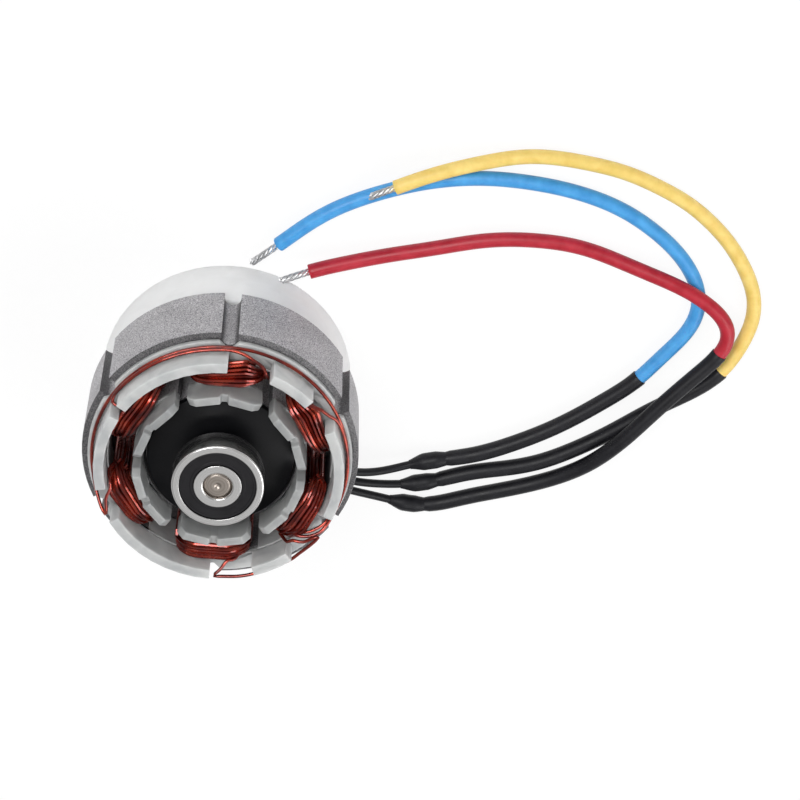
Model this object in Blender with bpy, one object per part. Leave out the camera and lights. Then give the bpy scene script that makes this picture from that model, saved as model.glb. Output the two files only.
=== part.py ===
"""Brushless motor of a cordless lawn mower: a six-tooth wound stator, a magnet rotor and three free leads.

The motor stands on the rim of its rear insulator, with the front bearing up. The origin is the
centre of that rim and +Z is the motor's axis. The leads lie on the same floor, towards +X.
"""

import math

import bmesh
import bpy
from mathutils import Matrix, Vector

MM = 0.001

# Clearances: two pieces that touch on the real motor, a ring on its shaft, the air gap, a running seal.
SEAT = 0.3 * MM
FIT = 0.05 * MM
AIR_GAP = 0.6 * MM
SEAL_RUN = 0.12 * MM
LAY = 0.1 * MM
EMBED = 0.4 * MM
END_STEP = 0.5 * MM

# Lamination stack.
TOOTH_COUNT = 6
FIRST_TOOTH = math.radians(90)
CORE_RADIUS = 28.8 * MM
CORE_LENGTH = 17.5 * MM
YOKE_WIDTH = 5.2 * MM
TOOTH_DEPTH = 7.6 * MM
TOOTH_HALF = 3.2 * MM
SHOE_TIP = 1.2 * MM
SHOE_ROOT = 1.7 * MM
SLOT_MOUTH = 2.5 * MM
GROOVE_HALF = 1.75 * MM
GROOVE_DEPTH = 2.8 * MM

# Moulded insulators. The skirt is the ring that the motor stands on.
SKIRT_HEIGHT = 15.9 * MM
SKIRT_STEP = 1.9 * MM
SKIRT_WALL = 1.6 * MM
PLATE = 1.3 * MM
LINER = 0.45 * MM
LINER_REACH = 6.0 * MM
ARM_ROUND = 1.6 * MM
LEDGE_STEP = 1.3 * MM
LEDGE_SHELF = 1.6 * MM
NOTCH_HALF = 2.1 * MM
NOTCH_DEPTH = 1.6 * MM
WALL = 2.2 * MM
WALL_HEIGHT = 6.4 * MM
TAB = 1.8 * MM
TAB_HEIGHT = 6.0 * MM
TAB_CHAMFER = 1.5 * MM
TAB_NOTCH_HALF = 0.95 * MM
TAB_NOTCH_DEPTH = 1.2 * MM
# Each stretch of the front wall, as the angles in degrees where its base and its top begin and end.
WALL_STRETCHES = (
    (89.8, 89.8, 147.5, 147.5),
    (46.0, 46.0, 68.4, 68.4),
    (-29.5, -20.5, 28.0, 28.0),
    (-69.4, -69.4, -50.0, -50.0),
    (212.5, 212.5, 269.4, 269.4),
    (153.5, 153.5, 194.5, 194.5),
)

# Windings.
WIRE = 0.75 * MM
COIL_ROWS = 5
COIL_SPACE = 4.8 * MM
COIL_LEAN = 0.2
COIL_CORNER = 2.0 * MM
CORNER_STEPS = 3

# Rotor.
MAGNET_COUNT = 4
MAGNET_THICKNESS = 3.0 * MM
MAGNET_DEPTH = 4.2 * MM
CAP = 1.5 * MM
CAP_BOSS_RADIUS = 5.5 * MM
FRONT_BOSS = 5.0 * MM
REAR_BOSS = 2.1 * MM
SHAFT_RADIUS = 4.0 * MM
SHAFT_CHAMFER = 0.5 * MM
SHAFT_REAR = 1.5 * MM
FLAT_DEPTH = 0.6 * MM
FLAT_LENGTH = 4.0 * MM
CENTRE_DRILL = 0.7 * MM

# Ball bearings, 6 mm bore, 19 mm outside, 6 mm wide.
BEARING_BORE = 3.0 * MM
BEARING_RADIUS = 9.5 * MM
BEARING_WIDTH = 6.0 * MM
BEARING_CHAMFER = 0.3 * MM
INNER_RACE = 4.9 * MM
OUTER_RACE = 8.0 * MM
SEAL_RECESS = 0.25 * MM
SEAL = 0.5 * MM
BALL_COUNT = 7

# Leads.
LEAD_TURN = math.radians(2.0)
EXIT_ANGLE = LEAD_TURN - math.radians(40.5)
EXIT_WIDTH = 9.0 * MM
EXIT_LOW = 7.5 * MM
EXIT_HIGH = 12.0 * MM
LEAD_RADIUS = 1.6 * MM
THIN_RADIUS = 0.9 * MM
SPLICE_RADIUS = 1.9 * MM
COVER_RADIUS = 1.75 * MM
TIP_RADIUS = 0.8 * MM
SPLICE_LENGTH = 9.0 * MM
CORD_STEP = 5.5 * MM
THIN_STEP = 3.0 * MM
SPLICE_STEP = 1.3 * MM
EASE_SPACING = 1.0 * MM
EASE_STEPS = 14
# Each lead: how far along it the thin sleeve reaches, where the cover sleeve ends and how long the tinned
# end is; then its route, all in millimetres: out of the skirt, down to the floor and along it. The routes
# are laid out LEAD_TURN short of their place.
LEADS = {
    "blue": (
        (26.5, 82.0, 7.4),
        (
            (17.5, -12.5, 8.8), (21.5, -15.0, 8.9), (25.5, -17.5, 7.8), (30.0, -19.5, 5.6),
            (34.0, -20.0, 4.2), (38.0, -19.5, 3.1), (43.0, -18.0, 2.3), (49.0, -17.0, 2.1),
            (56.0, -15.5, 1.9), (63.0, -12.5, 1.9), (70.0, -9.0, 1.9), (77.0, -4.5, 1.9),
            (83.5, 0.5, 1.9), (89.5, 5.5, 1.9), (93.0, 10.5, 1.8), (96.5, 14.5, 1.7),
            (99.5, 19.0, 1.7), (100.5, 24.0, 1.7), (99.5, 29.0, 1.7), (95.0, 36.0, 1.7),
            (90.0, 40.5, 1.7), (83.5, 45.0, 1.7), (76.5, 48.0, 1.7), (69.0, 50.0, 1.7),
            (62.0, 51.0, 1.7), (54.0, 51.5, 1.7), (47.0, 51.0, 1.7), (41.0, 50.0, 1.7),
            (34.0, 48.0, 1.7), (27.5, 45.5, 1.7), (20.5, 42.0, 1.7), (14.5, 37.5, 1.7),
            (9.5, 33.0, 1.7), (4.0, 28.5, 1.7),
        ),
    ),
    "red": (
        (26.0, 112.0, 6.6),
        (
            (15.0, -16.0, 10.0), (18.5, -18.5, 9.6), (24.0, -21.5, 8.0), (29.5, -24.5, 5.6),
            (33.5, -26.0, 4.2), (37.5, -27.5, 3.1), (42.0, -29.0, 2.3), (47.0, -29.0, 2.1),
            (52.5, -27.0, 1.9), (60.0, -25.0, 1.9), (68.0, -22.5, 2.0), (73.5, -20.0, 2.6),
            (78.0, -17.0, 3.7), (82.0, -13.5, 4.8), (86.0, -9.0, 5.6), (89.5, -5.0, 5.8),
            (92.5, -1.0, 5.8), (98.5, 6.0, 5.7), (104.0, 12.5, 5.5), (107.0, 16.5, 5.5),
            (107.0, 21.0, 5.5), (104.0, 24.5, 5.4), (100.0, 27.5, 5.3), (95.5, 30.0, 4.9),
            (90.5, 31.5, 4.1), (86.0, 33.0, 3.2), (81.0, 34.5, 2.4), (76.5, 36.0, 1.9),
            (71.5, 37.0, 1.7), (66.0, 37.5, 1.7), (58.5, 37.5, 1.7), (51.0, 36.5, 1.7),
            (43.5, 34.6, 1.8), (36.5, 33.2, 2.0), (29.0, 31.5, 2.4), (22.0, 29.8, 3.1),
            (16.3, 28.3, 3.7), (10.4, 26.1, 4.6),
        ),
    ),
    "yellow": (
        (26.5, 103.0, 6.1),
        (
            (16.0, -14.5, 10.0), (20.0, -17.0, 9.6), (25.0, -19.5, 8.0), (30.0, -22.0, 5.6),
            (34.0, -23.0, 4.2), (38.0, -23.5, 3.1), (43.0, -23.5, 2.3), (48.0, -22.5, 2.1),
            (53.0, -20.5, 1.9), (61.0, -19.0, 1.9), (69.0, -17.0, 1.9), (77.0, -13.0, 1.9),
            (85.0, -8.0, 1.9), (93.0, -2.0, 1.9), (101.0, 3.0, 1.9), (107.5, 8.5, 1.8),
            (110.0, 14.0, 1.7), (112.0, 18.5, 1.7), (112.5, 23.0, 1.7), (112.0, 27.5, 1.7),
            (110.0, 32.0, 1.7), (107.0, 37.0, 1.7), (104.0, 41.0, 1.7), (100.0, 44.5, 1.7),
            (96.0, 48.0, 1.7), (89.0, 51.5, 1.7), (82.0, 54.5, 1.7), (74.5, 56.0, 1.7),
            (67.5, 57.0, 1.7), (60.0, 57.0, 1.7), (55.0, 56.0, 2.0), (50.0, 55.0, 2.7),
            (45.5, 54.0, 3.5), (40.5, 52.5, 4.2), (34.5, 50.0, 4.7), (28.0, 46.9, 4.6),
        ),
    ),
}

# Where each wire that joins two coils runs: angle in degrees round the front wall, radius, and height as a
# share of the wall's. A wire starts at a coil inside the wall, hooks round the end of a stretch of wall,
# follows its outside and goes in again at another gap.
INSIDE, MIDDLE, THROUGH, TURN, ALONG = "inside", "middle", "through", "turn", "along"
CROSSOVERS = (
    (
        (188.5, INSIDE, 0.33), (194, INSIDE, 0.42), (202, MIDDLE, 0.55), (207.5, THROUGH, 0.6),
        (210.3, TURN, 0.62), (206.5, ALONG, 0.5), (200, ALONG, 0.28), (192, ALONG, 0.06), (182, ALONG, 0),
        (-16, ALONG, 0), (-27, ALONG, 0.03), (-31.5, TURN, 0.1), (-34.5, THROUGH, 0.17), (-38, MIDDLE, 0.2),
        (-42, INSIDE, 0.2),
    ),
    (
        (166, INSIDE, 0.32), (160, INSIDE, 0.38), (154, INSIDE, 0.36), (151.3, INSIDE, 0.34),
        (151, MIDDLE, 0.31), (151.6, THROUGH, 0.28), (150.6, TURN, 0.25), (147, ALONG, 0.2),
        (140, ALONG, 0.19), (93, ALONG, 0.19), (88.5, ALONG, 0.2), (85, THROUGH, 0.24), (79, MIDDLE, 0.32),
        (73.5, INSIDE, 0.32), (69.5, INSIDE, 0.24),
    ),
    (
        (50, INSIDE, 0.4), (45, INSIDE, 0.43), (38.5, MIDDLE, 0.42), (33, THROUGH, 0.38),
        (29.9, TURN, 0.34), (25.5, ALONG, 0.26), (18, ALONG, 0.19), (-15, ALONG, 0.19), (-24, ALONG, 0.24),
        (-29.5, ALONG, 0.32), (-33, TURN, 0.4), (-36, THROUGH, 0.42), (-40, MIDDLE, 0.4),
        (-44.5, INSIDE, 0.36),
    ),
    (
        (-51, INSIDE, 0.47), (-46.5, INSIDE, 0.52), (-41, MIDDLE, 0.58), (-36, THROUGH, 0.61),
        (-33.4, TURN, 0.63), (-38.5, TURN, 0.63), (-46, TURN, 0.61), (-53, ALONG, 0.58), (-66, ALONG, 0.58),
        (-76, ALONG, 0.61), (-84, TURN, 0.63), (-87.2, TURN, 0.62), (-86.4, THROUGH, 0.6),
        (-84.3, MIDDLE, 0.56), (-81, INSIDE, 0.5), (-77.5, INSIDE, 0.44),
    ),
)

# Levels and radii that follow from the sizes above.
SKIRT_RADIUS = CORE_RADIUS - SKIRT_STEP
LEDGE_RADIUS = CORE_RADIUS - LEDGE_STEP
WALL_RADIUS = LEDGE_RADIUS - LEDGE_SHELF
REAR_PLATE = SKIRT_HEIGHT - PLATE
CORE_BASE = SKIRT_HEIGHT + SEAT
CORE_TOP = CORE_BASE + CORE_LENGTH
FRONT_PLATE = CORE_TOP + SEAT
LEDGE = FRONT_PLATE + PLATE
YOKE_RADIUS = CORE_RADIUS - YOKE_WIDTH
BORE_RADIUS = YOKE_RADIUS - TOOTH_DEPTH
MOULD_BORE = BORE_RADIUS + 0.2 * MM
TAB_RADIUS = MOULD_BORE + TAB
LINER_HALF = TOOTH_HALF + SEAT + LINER
COIL_HALF = LINER_HALF + SEAT
COIL_INNER = TAB_RADIUS + SEAT
COIL_OUTER = min(YOKE_RADIUS - SEAT, WALL_RADIUS - WALL) - 2 * SEAT
COIL_BUILD = COIL_INNER * math.tan(math.pi / TOOTH_COUNT) - COIL_HALF - COIL_SPACE / 2
COIL_TAPER = COIL_LEAN * COIL_BUILD
COIL_BASE = REAR_PLATE - SEAT
COIL_TOP = LEDGE + SEAT
ROTOR_RADIUS = BORE_RADIUS - AIR_GAP
MAGNET_RADIUS = ROTOR_RADIUS - MAGNET_DEPTH
MAGNET_WIDTH = 0.84 * ROTOR_RADIUS
CAP_FACE = CORE_TOP + SEAT + CAP
CAP_BACK = CORE_BASE - SEAT - CAP
FRONT_BEARING_BASE = CAP_FACE + FRONT_BOSS + SEAT
FRONT_BEARING_TOP = FRONT_BEARING_BASE + BEARING_WIDTH
REAR_BEARING_TOP = CAP_BACK - REAR_BOSS - SEAT
REAR_BEARING_BASE = REAR_BEARING_TOP - BEARING_WIDTH
TOOTH_ANGLES = [FIRST_TOOTH + index * math.tau / TOOTH_COUNT for index in range(TOOTH_COUNT)]


def finish(name, colour, roughness, metallic=0.0):
    """A named Principled material."""
    made = bpy.data.materials.new(name)
    made.use_nodes = True
    shader = made.node_tree.nodes["Principled BSDF"]
    shader.inputs["Base Color"].default_value = (*colour, 1.0)
    shader.inputs["Roughness"].default_value = roughness
    shader.inputs["Metallic"].default_value = metallic
    made.diffuse_color = (*colour, 1.0)
    return made


def place(name, data, material, helper=False):
    """Links one object; a helper only shapes others and isn't rendered."""
    piece = bpy.data.objects.new(name, data)
    bpy.context.scene.collection.objects.link(piece)
    if material:
        data.materials.append(material)
    if helper:
        piece.hide_render = True
        piece.display_type = "WIRE"
    return piece


def mesh_from(points, faces, smooth_below=35):
    """A mesh with outward faces, smooth where its faces meet at less than the given angle in degrees."""
    mesh = bpy.data.meshes.new("shape")
    mesh.from_pydata([tuple(point) for point in points], [], faces)
    shape = bmesh.new()
    shape.from_mesh(mesh)
    bmesh.ops.recalc_face_normals(shape, faces=shape.faces)
    for face in shape.faces:
        face.smooth = True
    for edge in shape.edges:
        if edge.is_manifold and edge.calc_face_angle() > math.radians(smooth_below):
            edge.smooth = False
    shape.to_mesh(mesh)
    shape.free()
    return mesh


def extruded(outline, low, high):
    """A prism along Z over a plane outline."""
    count = len(outline)
    points = [(x, y, low) for x, y in outline] + [(x, y, high) for x, y in outline]
    sides = [(i, (i + 1) % count, count + (i + 1) % count, count + i) for i in range(count)]
    return mesh_from(points, [tuple(range(count)), tuple(range(count, 2 * count)), *sides])


def turned(profile, steps=30):
    """A closed ring: a profile of (radius, height) revolved about Z."""
    count = len(profile)
    points = []
    for step in range(steps):
        angle = math.tau * step / steps
        points += [(r * math.cos(angle), r * math.sin(angle), z) for r, z in profile]
    faces = []
    for step in range(steps):
        here, following = step * count, (step + 1) % steps * count
        for i in range(count):
            j = (i + 1) % count
            faces.append((here + i, here + j, following + j, following + i))
    return mesh_from(points, faces)


def turned_solid(profile, steps=30):
    """A solid of revolution: the profile's first and last points lie on the axis."""
    points = [(0, 0, profile[0][1]), (0, 0, profile[-1][1])]
    rim = profile[1:-1]
    count = len(rim)
    for step in range(steps):
        angle = math.tau * step / steps
        points += [(r * math.cos(angle), r * math.sin(angle), z) for r, z in rim]
    faces = []
    for step in range(steps):
        here, following = 2 + step * count, 2 + (step + 1) % steps * count
        faces.append((0, here, following))
        faces.append((1, following + count - 1, here + count - 1))
        for i in range(count - 1):
            faces.append((here + i, here + i + 1, following + i + 1, following + i))
    return mesh_from(points, faces)


def curtain(inner, outer, stations):
    """A curved wall between two radii, over stations of (angle, low, high)."""
    points = []
    for angle, low, high in stations:
        for radius, level in ((inner, low), (outer, low), (outer, high), (inner, high)):
            points.append((radius * math.cos(angle), radius * math.sin(angle), level))
    faces = [(0, 1, 2, 3), tuple(len(points) - 4 + i for i in range(4))]
    for step in range(len(stations) - 1):
        here = 4 * step
        for i in range(4):
            j = (i + 1) % 4
            faces.append((here + i, here + j, here + 4 + j, here + 4 + i))
    return mesh_from(points, faces)


def at(angle, along, across):
    """The plane point that lies along a direction and across it."""
    cosine, sine = math.cos(angle), math.sin(angle)
    return along * cosine - across * sine, along * sine + across * cosine


def arc(radius, start, end, steps):
    """Points of a circle, without the last."""
    turns = [start + (end - start) * step / steps for step in range(steps)]
    return [(radius * math.cos(turn), radius * math.sin(turn)) for turn in turns]


def rim_outline(radius, recess, half, steps=12):
    """A circle with one recess on each tooth's line; recess gives its points as (along, across)."""
    outline = []
    for angle in TOOTH_ANGLES:
        reach = math.asin(half / radius)
        outline += [at(angle, along, across) for along, across in recess]
        outline += arc(radius, angle + reach, angle + math.tau / TOOTH_COUNT - reach, steps)
    return outline


def winding_space(bore, tip, root, half, outer, mouth, steps=8):
    """The outline of the space inside a yoke: the bore and the slots between the teeth."""
    outline = []
    shoe = math.pi / TOOTH_COUNT - mouth / 2 / bore
    side = math.sqrt(outer**2 - half**2)
    reach = math.asin(half / outer)
    for angle in TOOTH_ANGLES:
        outline.append(at(angle, side, -half))
        outline.append(at(angle, bore + root, -half))
        outline += arc(bore + tip, angle - shoe, angle - shoe + 0.001, 1)
        outline += arc(bore, angle - shoe, angle + shoe, steps)
        outline += arc(bore, angle + shoe, angle + shoe + 0.001, 1)
        outline += arc(bore + tip, angle + shoe, angle + shoe + 0.001, 1)
        outline.append(at(angle, bore + root, half))
        outline += arc(outer, angle + reach, angle + math.tau / TOOTH_COUNT - reach, steps)
    return outline


def helper_group(name, meshes):
    """A collection of hidden shapes that one Boolean uses together."""
    group = bpy.data.collections.new(name)
    bpy.context.scene.collection.children.link(group)
    for index, mesh in enumerate(meshes):
        piece = bpy.data.objects.new(f"{name}_{index + 1}", mesh)
        group.objects.link(piece)
        piece.hide_render = True
        piece.display_type = "WIRE"
    return group


def combine(piece, operation, name, meshes):
    """Adds or cuts a group of shapes exactly."""
    step = piece.modifiers.new(name, "BOOLEAN")
    step.operation = operation
    step.solver = "EXACT"
    if len(meshes) == 1:
        step.object = place(name, meshes[0], None, helper=True)
    else:
        step.operand_type = "COLLECTION"
        step.collection = helper_group(name, meshes)


def box(low, high, angle=0.0):
    """A block given by two corners as (along, across, level), turned about Z."""
    outline = [
        at(angle, low[0], low[1]),
        at(angle, high[0], low[1]),
        at(angle, high[0], high[1]),
        at(angle, low[0], high[1]),
    ]
    return extruded(outline, low[2], high[2])


def groove_recess():
    """A straight groove with a round floor, as the core's outside has on each tooth's line."""
    centre = CORE_RADIUS - GROOVE_DEPTH + GROOVE_HALF
    mouth = math.sqrt(CORE_RADIUS**2 - GROOVE_HALF**2)
    turns = [math.pi * step / 6 for step in range(7)]
    floor = [(centre - GROOVE_HALF * math.sin(turn), -GROOVE_HALF * math.cos(turn)) for turn in turns]
    return [(mouth, -GROOVE_HALF), *floor]


def stator_core(material):
    """The lamination stack: yoke, six teeth with pole shoes, six outside grooves."""
    outline = rim_outline(CORE_RADIUS, groove_recess(), GROOVE_HALF)
    core = place("stator_core", extruded(outline, CORE_BASE, CORE_TOP), material)
    space = winding_space(
        BORE_RADIUS, SHOE_TIP, SHOE_ROOT, TOOTH_HALF, YOKE_RADIUS, SLOT_MOUTH
    )
    combine(core, "DIFFERENCE", "core_slots", [extruded(space, CORE_BASE - MM, CORE_TOP + MM)])


def plate_space(low, high):
    """What a moulded end plate leaves open: the bore and the slots, a little smaller than the core's."""
    inner = WALL_RADIUS - WALL
    space = winding_space(MOULD_BORE, TAB, TAB, LINER_HALF, inner, SLOT_MOUTH)
    return extruded(space, low, high)


def slot_liners(low, high):
    """The thin legs that line both sides of each tooth."""
    start = BORE_RADIUS + SHOE_ROOT + SEAT
    end = math.sqrt((YOKE_RADIUS - SEAT) ** 2 - LINER_HALF**2)
    legs = []
    for angle in TOOTH_ANGLES:
        for side in (-1, 1):
            near, far = sorted((side * (LINER_HALF - LINER), side * LINER_HALF))
            legs.append(box((start, near, low), (end, far, high), angle))
    return legs


def arm_rounds(face, away):
    """Cutters that round the two long edges of each arm, where the wire turns over it."""
    centre_across, centre_level = LINER_HALF - ARM_ROUND, face - away * ARM_ROUND
    turns = [math.pi / 2 * step / 4 for step in range(5)]
    profile = []
    for turn in turns:
        reach, rise = ARM_ROUND * math.cos(turn), ARM_ROUND * math.sin(turn)
        profile.append((centre_across + reach, centre_level + away * rise))
    profile += [(centre_across, face + away * EMBED), (LINER_HALF + EMBED / 2, face + away * EMBED)]
    profile += [(LINER_HALF + EMBED / 2, centre_level)]
    near, far = TAB_RADIUS + EMBED / 4, COIL_OUTER + SEAT
    cutters = []
    for angle in TOOTH_ANGLES:
        for side in (-1, 1):
            points = [(*at(angle, near, side * across), level) for across, level in profile]
            points += [(*at(angle, far, side * across), level) for across, level in profile]
            count = len(profile)
            faces = [(i, (i + 1) % count, count + (i + 1) % count, count + i) for i in range(count)]
            faces += [tuple(range(count)), tuple(range(count, 2 * count))]
            cutters.append(mesh_from(points, faces))
    return cutters


def pole_tabs(root, tip):
    """The curved tabs that hold the coils off the bore, with chamfered ends and a notch for the wire."""
    half = math.pi / TOOTH_COUNT - SLOT_MOUTH / 2 / MOULD_BORE
    away = 1 if tip > root else -1
    chamfer = TAB_CHAMFER / TAB_RADIUS
    notch = TAB_NOTCH_HALF / TAB_RADIUS
    ends = (-half, -half + chamfer, -notch, -notch * 0.7, notch * 0.7, notch, half - chamfer, half)
    drops = (TAB_CHAMFER, 0, 0, TAB_NOTCH_DEPTH, TAB_NOTCH_DEPTH, 0, 0, TAB_CHAMFER)
    tabs = []
    for angle in TOOTH_ANGLES:
        stations = []
        for place_on, drop in zip(ends, drops):
            levels = sorted((root, tip - away * drop))
            stations.append((angle + place_on, *levels))
        tabs.append(curtain(MOULD_BORE, TAB_RADIUS, stations))
    return tabs


def front_wall():
    """The broken wall that carries the crossover wires round the front."""
    walls = []
    for base_start, top_start, top_end, base_end in WALL_STRETCHES:
        steps = max(3, round((base_end - base_start) / 7))
        bases = [math.radians(base_start + (base_end - base_start) * i / steps) for i in range(steps + 1)]
        tops = [math.radians(top_start + (top_end - top_start) * i / steps) for i in range(steps + 1)]
        walls.append(leaning_wall(bases, tops))
    return walls


def leaning_wall(bases, tops):
    """A wall stretch whose base and top may begin at other angles."""
    inner, outer = WALL_RADIUS - WALL, WALL_RADIUS
    low, high = LEDGE - EMBED, LEDGE + WALL_HEIGHT
    points = []
    for base, top in zip(bases, tops):
        corners = ((inner, base, low), (outer, base, low), (outer, top, high), (inner, top, high))
        for radius, angle, level in corners:
            points.append((radius * math.cos(angle), radius * math.sin(angle), level))
    last = len(points) - 4
    faces = [(0, 1, 2, 3), (last, last + 1, last + 2, last + 3)]
    for step in range(len(bases) - 1):
        here = 4 * step
        faces += [(here + i, here + (i + 1) % 4, here + 4 + (i + 1) % 4, here + 4 + i) for i in range(4)]
    return mesh_from(points, faces)


def front_insulator(material):
    """The moulded front end: notched ledge, broken wall, coil tabs and slot liners."""
    notch = [
        (math.sqrt(LEDGE_RADIUS**2 - NOTCH_HALF**2), -NOTCH_HALF),
        (LEDGE_RADIUS - NOTCH_DEPTH, -0.25 * NOTCH_HALF),
        (LEDGE_RADIUS - NOTCH_DEPTH, 0.25 * NOTCH_HALF),
    ]
    outline = rim_outline(LEDGE_RADIUS, notch, NOTCH_HALF)
    part = place("front_insulator", extruded(outline, FRONT_PLATE, LEDGE), material)
    combine(part, "DIFFERENCE", "front_space", [plate_space(FRONT_PLATE - MM, LEDGE + MM)])
    extras = front_wall() + pole_tabs(FRONT_PLATE, LEDGE + TAB_HEIGHT)
    extras += slot_liners(CORE_TOP - LINER_REACH, LEDGE - EMBED)
    combine(part, "UNION", "front_walls", extras)
    combine(part, "DIFFERENCE", "front_rounds", arm_rounds(LEDGE, 1))


def rear_insulator(material):
    """The moulded rear end: the skirt that the motor stands on, plate, coil tabs and liners."""
    outline = arc(SKIRT_RADIUS, 0, math.tau, 66)
    part = place("rear_insulator", extruded(outline, 0, SKIRT_HEIGHT), material)
    hollow = extruded(arc(SKIRT_RADIUS - SKIRT_WALL, 0, math.tau, 66), -MM, REAR_PLATE)
    combine(part, "DIFFERENCE", "skirt_hollow", [hollow])
    combine(part, "DIFFERENCE", "rear_space", [plate_space(REAR_PLATE - MM, SKIRT_HEIGHT + MM)])
    extras = pole_tabs(SKIRT_HEIGHT, REAR_PLATE - TAB_HEIGHT)
    extras += slot_liners(REAR_PLATE + EMBED, CORE_BASE + LINER_REACH)
    combine(part, "UNION", "rear_walls", extras)
    combine(part, "DIFFERENCE", "rear_rounds", arm_rounds(REAR_PLATE, -1))
    low = (SKIRT_RADIUS - 3 * SKIRT_WALL, -EXIT_WIDTH / 2, EXIT_LOW)
    window = box(low, (SKIRT_RADIUS + MM, EXIT_WIDTH / 2, EXIT_HIGH), EXIT_ANGLE)
    combine(part, "DIFFERENCE", "lead_window", [window])


def coil_section():
    """The winding's section as (radius, build): flat inside, a ridge for each layer of wire outside."""
    points = [(COIL_OUTER - 0.2 * MM, 0), (COIL_INNER + 0.2 * MM, 0), (COIL_INNER, 0.3 * MM)]
    points += [(COIL_INNER, COIL_BUILD - 0.4 * MM)]
    crown = COIL_OUTER - COIL_TAPER - COIL_INNER
    for row in range(3):
        centre = COIL_INNER + crown * (row + 0.5) / 3
        points += [(centre - crown / 9, COIL_BUILD), (centre + crown / 9, COIL_BUILD)]
        if row < 2:
            points.append((centre + crown / 6, COIL_BUILD - 0.2 * MM))
    for row in range(COIL_ROWS - 1, 0, -1):
        share = (row + 0.1) / COIL_ROWS
        edge = COIL_OUTER - COIL_TAPER * share
        points += [(edge - 0.15 * MM, COIL_BUILD * share), (edge, COIL_BUILD * (row - 0.4) / COIL_ROWS)]
    points.append((COIL_OUTER, 0.3 * MM))
    return points


def coil(index, angle, material):
    """One coil: the section swept round the insulated tooth, a loop with round corners."""
    section = coil_section()
    low, high = COIL_BASE + COIL_CORNER, COIL_TOP - COIL_CORNER
    half = COIL_HALF - COIL_CORNER
    corners = ((half, high, 0), (-half, high, 90), (-half, low, 180), (half, low, 270))
    points = []
    for across, level, first in corners:
        for step in range(CORNER_STEPS + 1):
            turn = math.radians(first + 90 * step / CORNER_STEPS)
            for along, build in section:
                reach = COIL_CORNER + build
                x, y = at(angle, along, across + reach * math.cos(turn))
                points.append((x, y, level + reach * math.sin(turn)))
    count, stations = len(section), 4 * (CORNER_STEPS + 1)
    faces = []
    for station in range(stations):
        here, following = station * count, (station + 1) % stations * count
        for i in range(count):
            j = (i + 1) % count
            faces.append((here + i, here + j, following + j, following + i))
    place(f"coil_{index}", mesh_from(points, faces), material)


def smooth_route(points, spacing):
    """Points at even spacing along a smooth curve through the route points."""
    nodes = [Vector(point) for point in points]
    nodes = [2 * nodes[0] - nodes[1], *nodes, 2 * nodes[-1] - nodes[-2]]
    fine = []
    for a, b, c, d in zip(nodes, nodes[1:], nodes[2:], nodes[3:]):
        for step in range(12):
            t = step / 12
            fine.append(
                0.5
                * (2 * b + (c - a) * t + (2 * a - 5 * b + 4 * c - d) * t**2 + (3 * b - 3 * c + d - a) * t**3)
            )
    fine.append(nodes[-2])
    travelled = [0.0]
    for first, second in zip(fine, fine[1:]):
        travelled.append(travelled[-1] + (second - first).length)
    count = max(2, round(travelled[-1] / spacing))
    return [along(fine, travelled, travelled[-1] * i / count) for i in range(count + 1)]


def eased(points):
    """The run with its small waves ironed out and its true bends kept, as a springy lead lies."""
    return [
        2 * once - twice
        for once, twice in zip(averaged(points), averaged(averaged(points)))
    ]


def averaged(points):
    """Each point's weighted mean with its neighbours; the ends stay where they are."""
    first, last, count = points[0], points[-1], len(points)
    mean = []
    for i in range(count):
        total, weights = Vector((0, 0, 0)), 0.0
        for step in range(-EASE_STEPS, EASE_STEPS + 1):
            weight = math.exp(-0.5 * (3.0 * step / EASE_STEPS) ** 2)
            j = i + step
            if j < 0:
                near = 2 * first - points[-j]
            elif j >= count:
                near = 2 * last - points[2 * (count - 1) - j]
            else:
                near = points[j]
            total += weight * near
            weights += weight
        mean.append(total / weights)
    return mean


def along(fine, travelled, distance):
    """The point that lies a distance along a polyline."""
    for i in range(len(fine) - 1):
        if travelled[i + 1] >= distance:
            share = (distance - travelled[i]) / (travelled[i + 1] - travelled[i])
            return fine[i].lerp(fine[i + 1], max(0.0, min(1.0, share)))
    return fine[-1]


def tube(name, points, radii, material):
    """A round cord with closed ends, as a curve with one bevel; radii may differ by point."""
    curve = bpy.data.curves.new(name, "CURVE")
    curve.dimensions = "3D"
    curve.bevel_depth = max(radii)
    curve.bevel_resolution = 2
    curve.use_fill_caps = True
    spline = curve.splines.new("POLY")
    spline.points.add(len(points) - 1)
    for point, where, radius in zip(spline.points, points, radii):
        point.co = (*where, 1.0)
        point.radius = radius / max(radii)
    spline.use_smooth = True
    return place(name, curve, material)


def stretch(fine, start, end, spacing):
    """The part of a fine run between two distances, with a short step at each end to square its face."""
    travelled = [0.0]
    for first, second in zip(fine, fine[1:]):
        travelled.append(travelled[-1] + (second - first).length)
    end = min(end, travelled[-1])
    count = max(2, round((end - start) / spacing))
    distances = [start + (end - start) * i / count for i in range(count + 1)]
    distances.insert(1, start + END_STEP)
    distances.insert(-1, end - END_STEP)
    return [along(fine, travelled, distance) for distance in distances]


def run_length(fine):
    """The length of a fine run."""
    return sum((second - first).length for first, second in zip(fine, fine[1:]))


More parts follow.
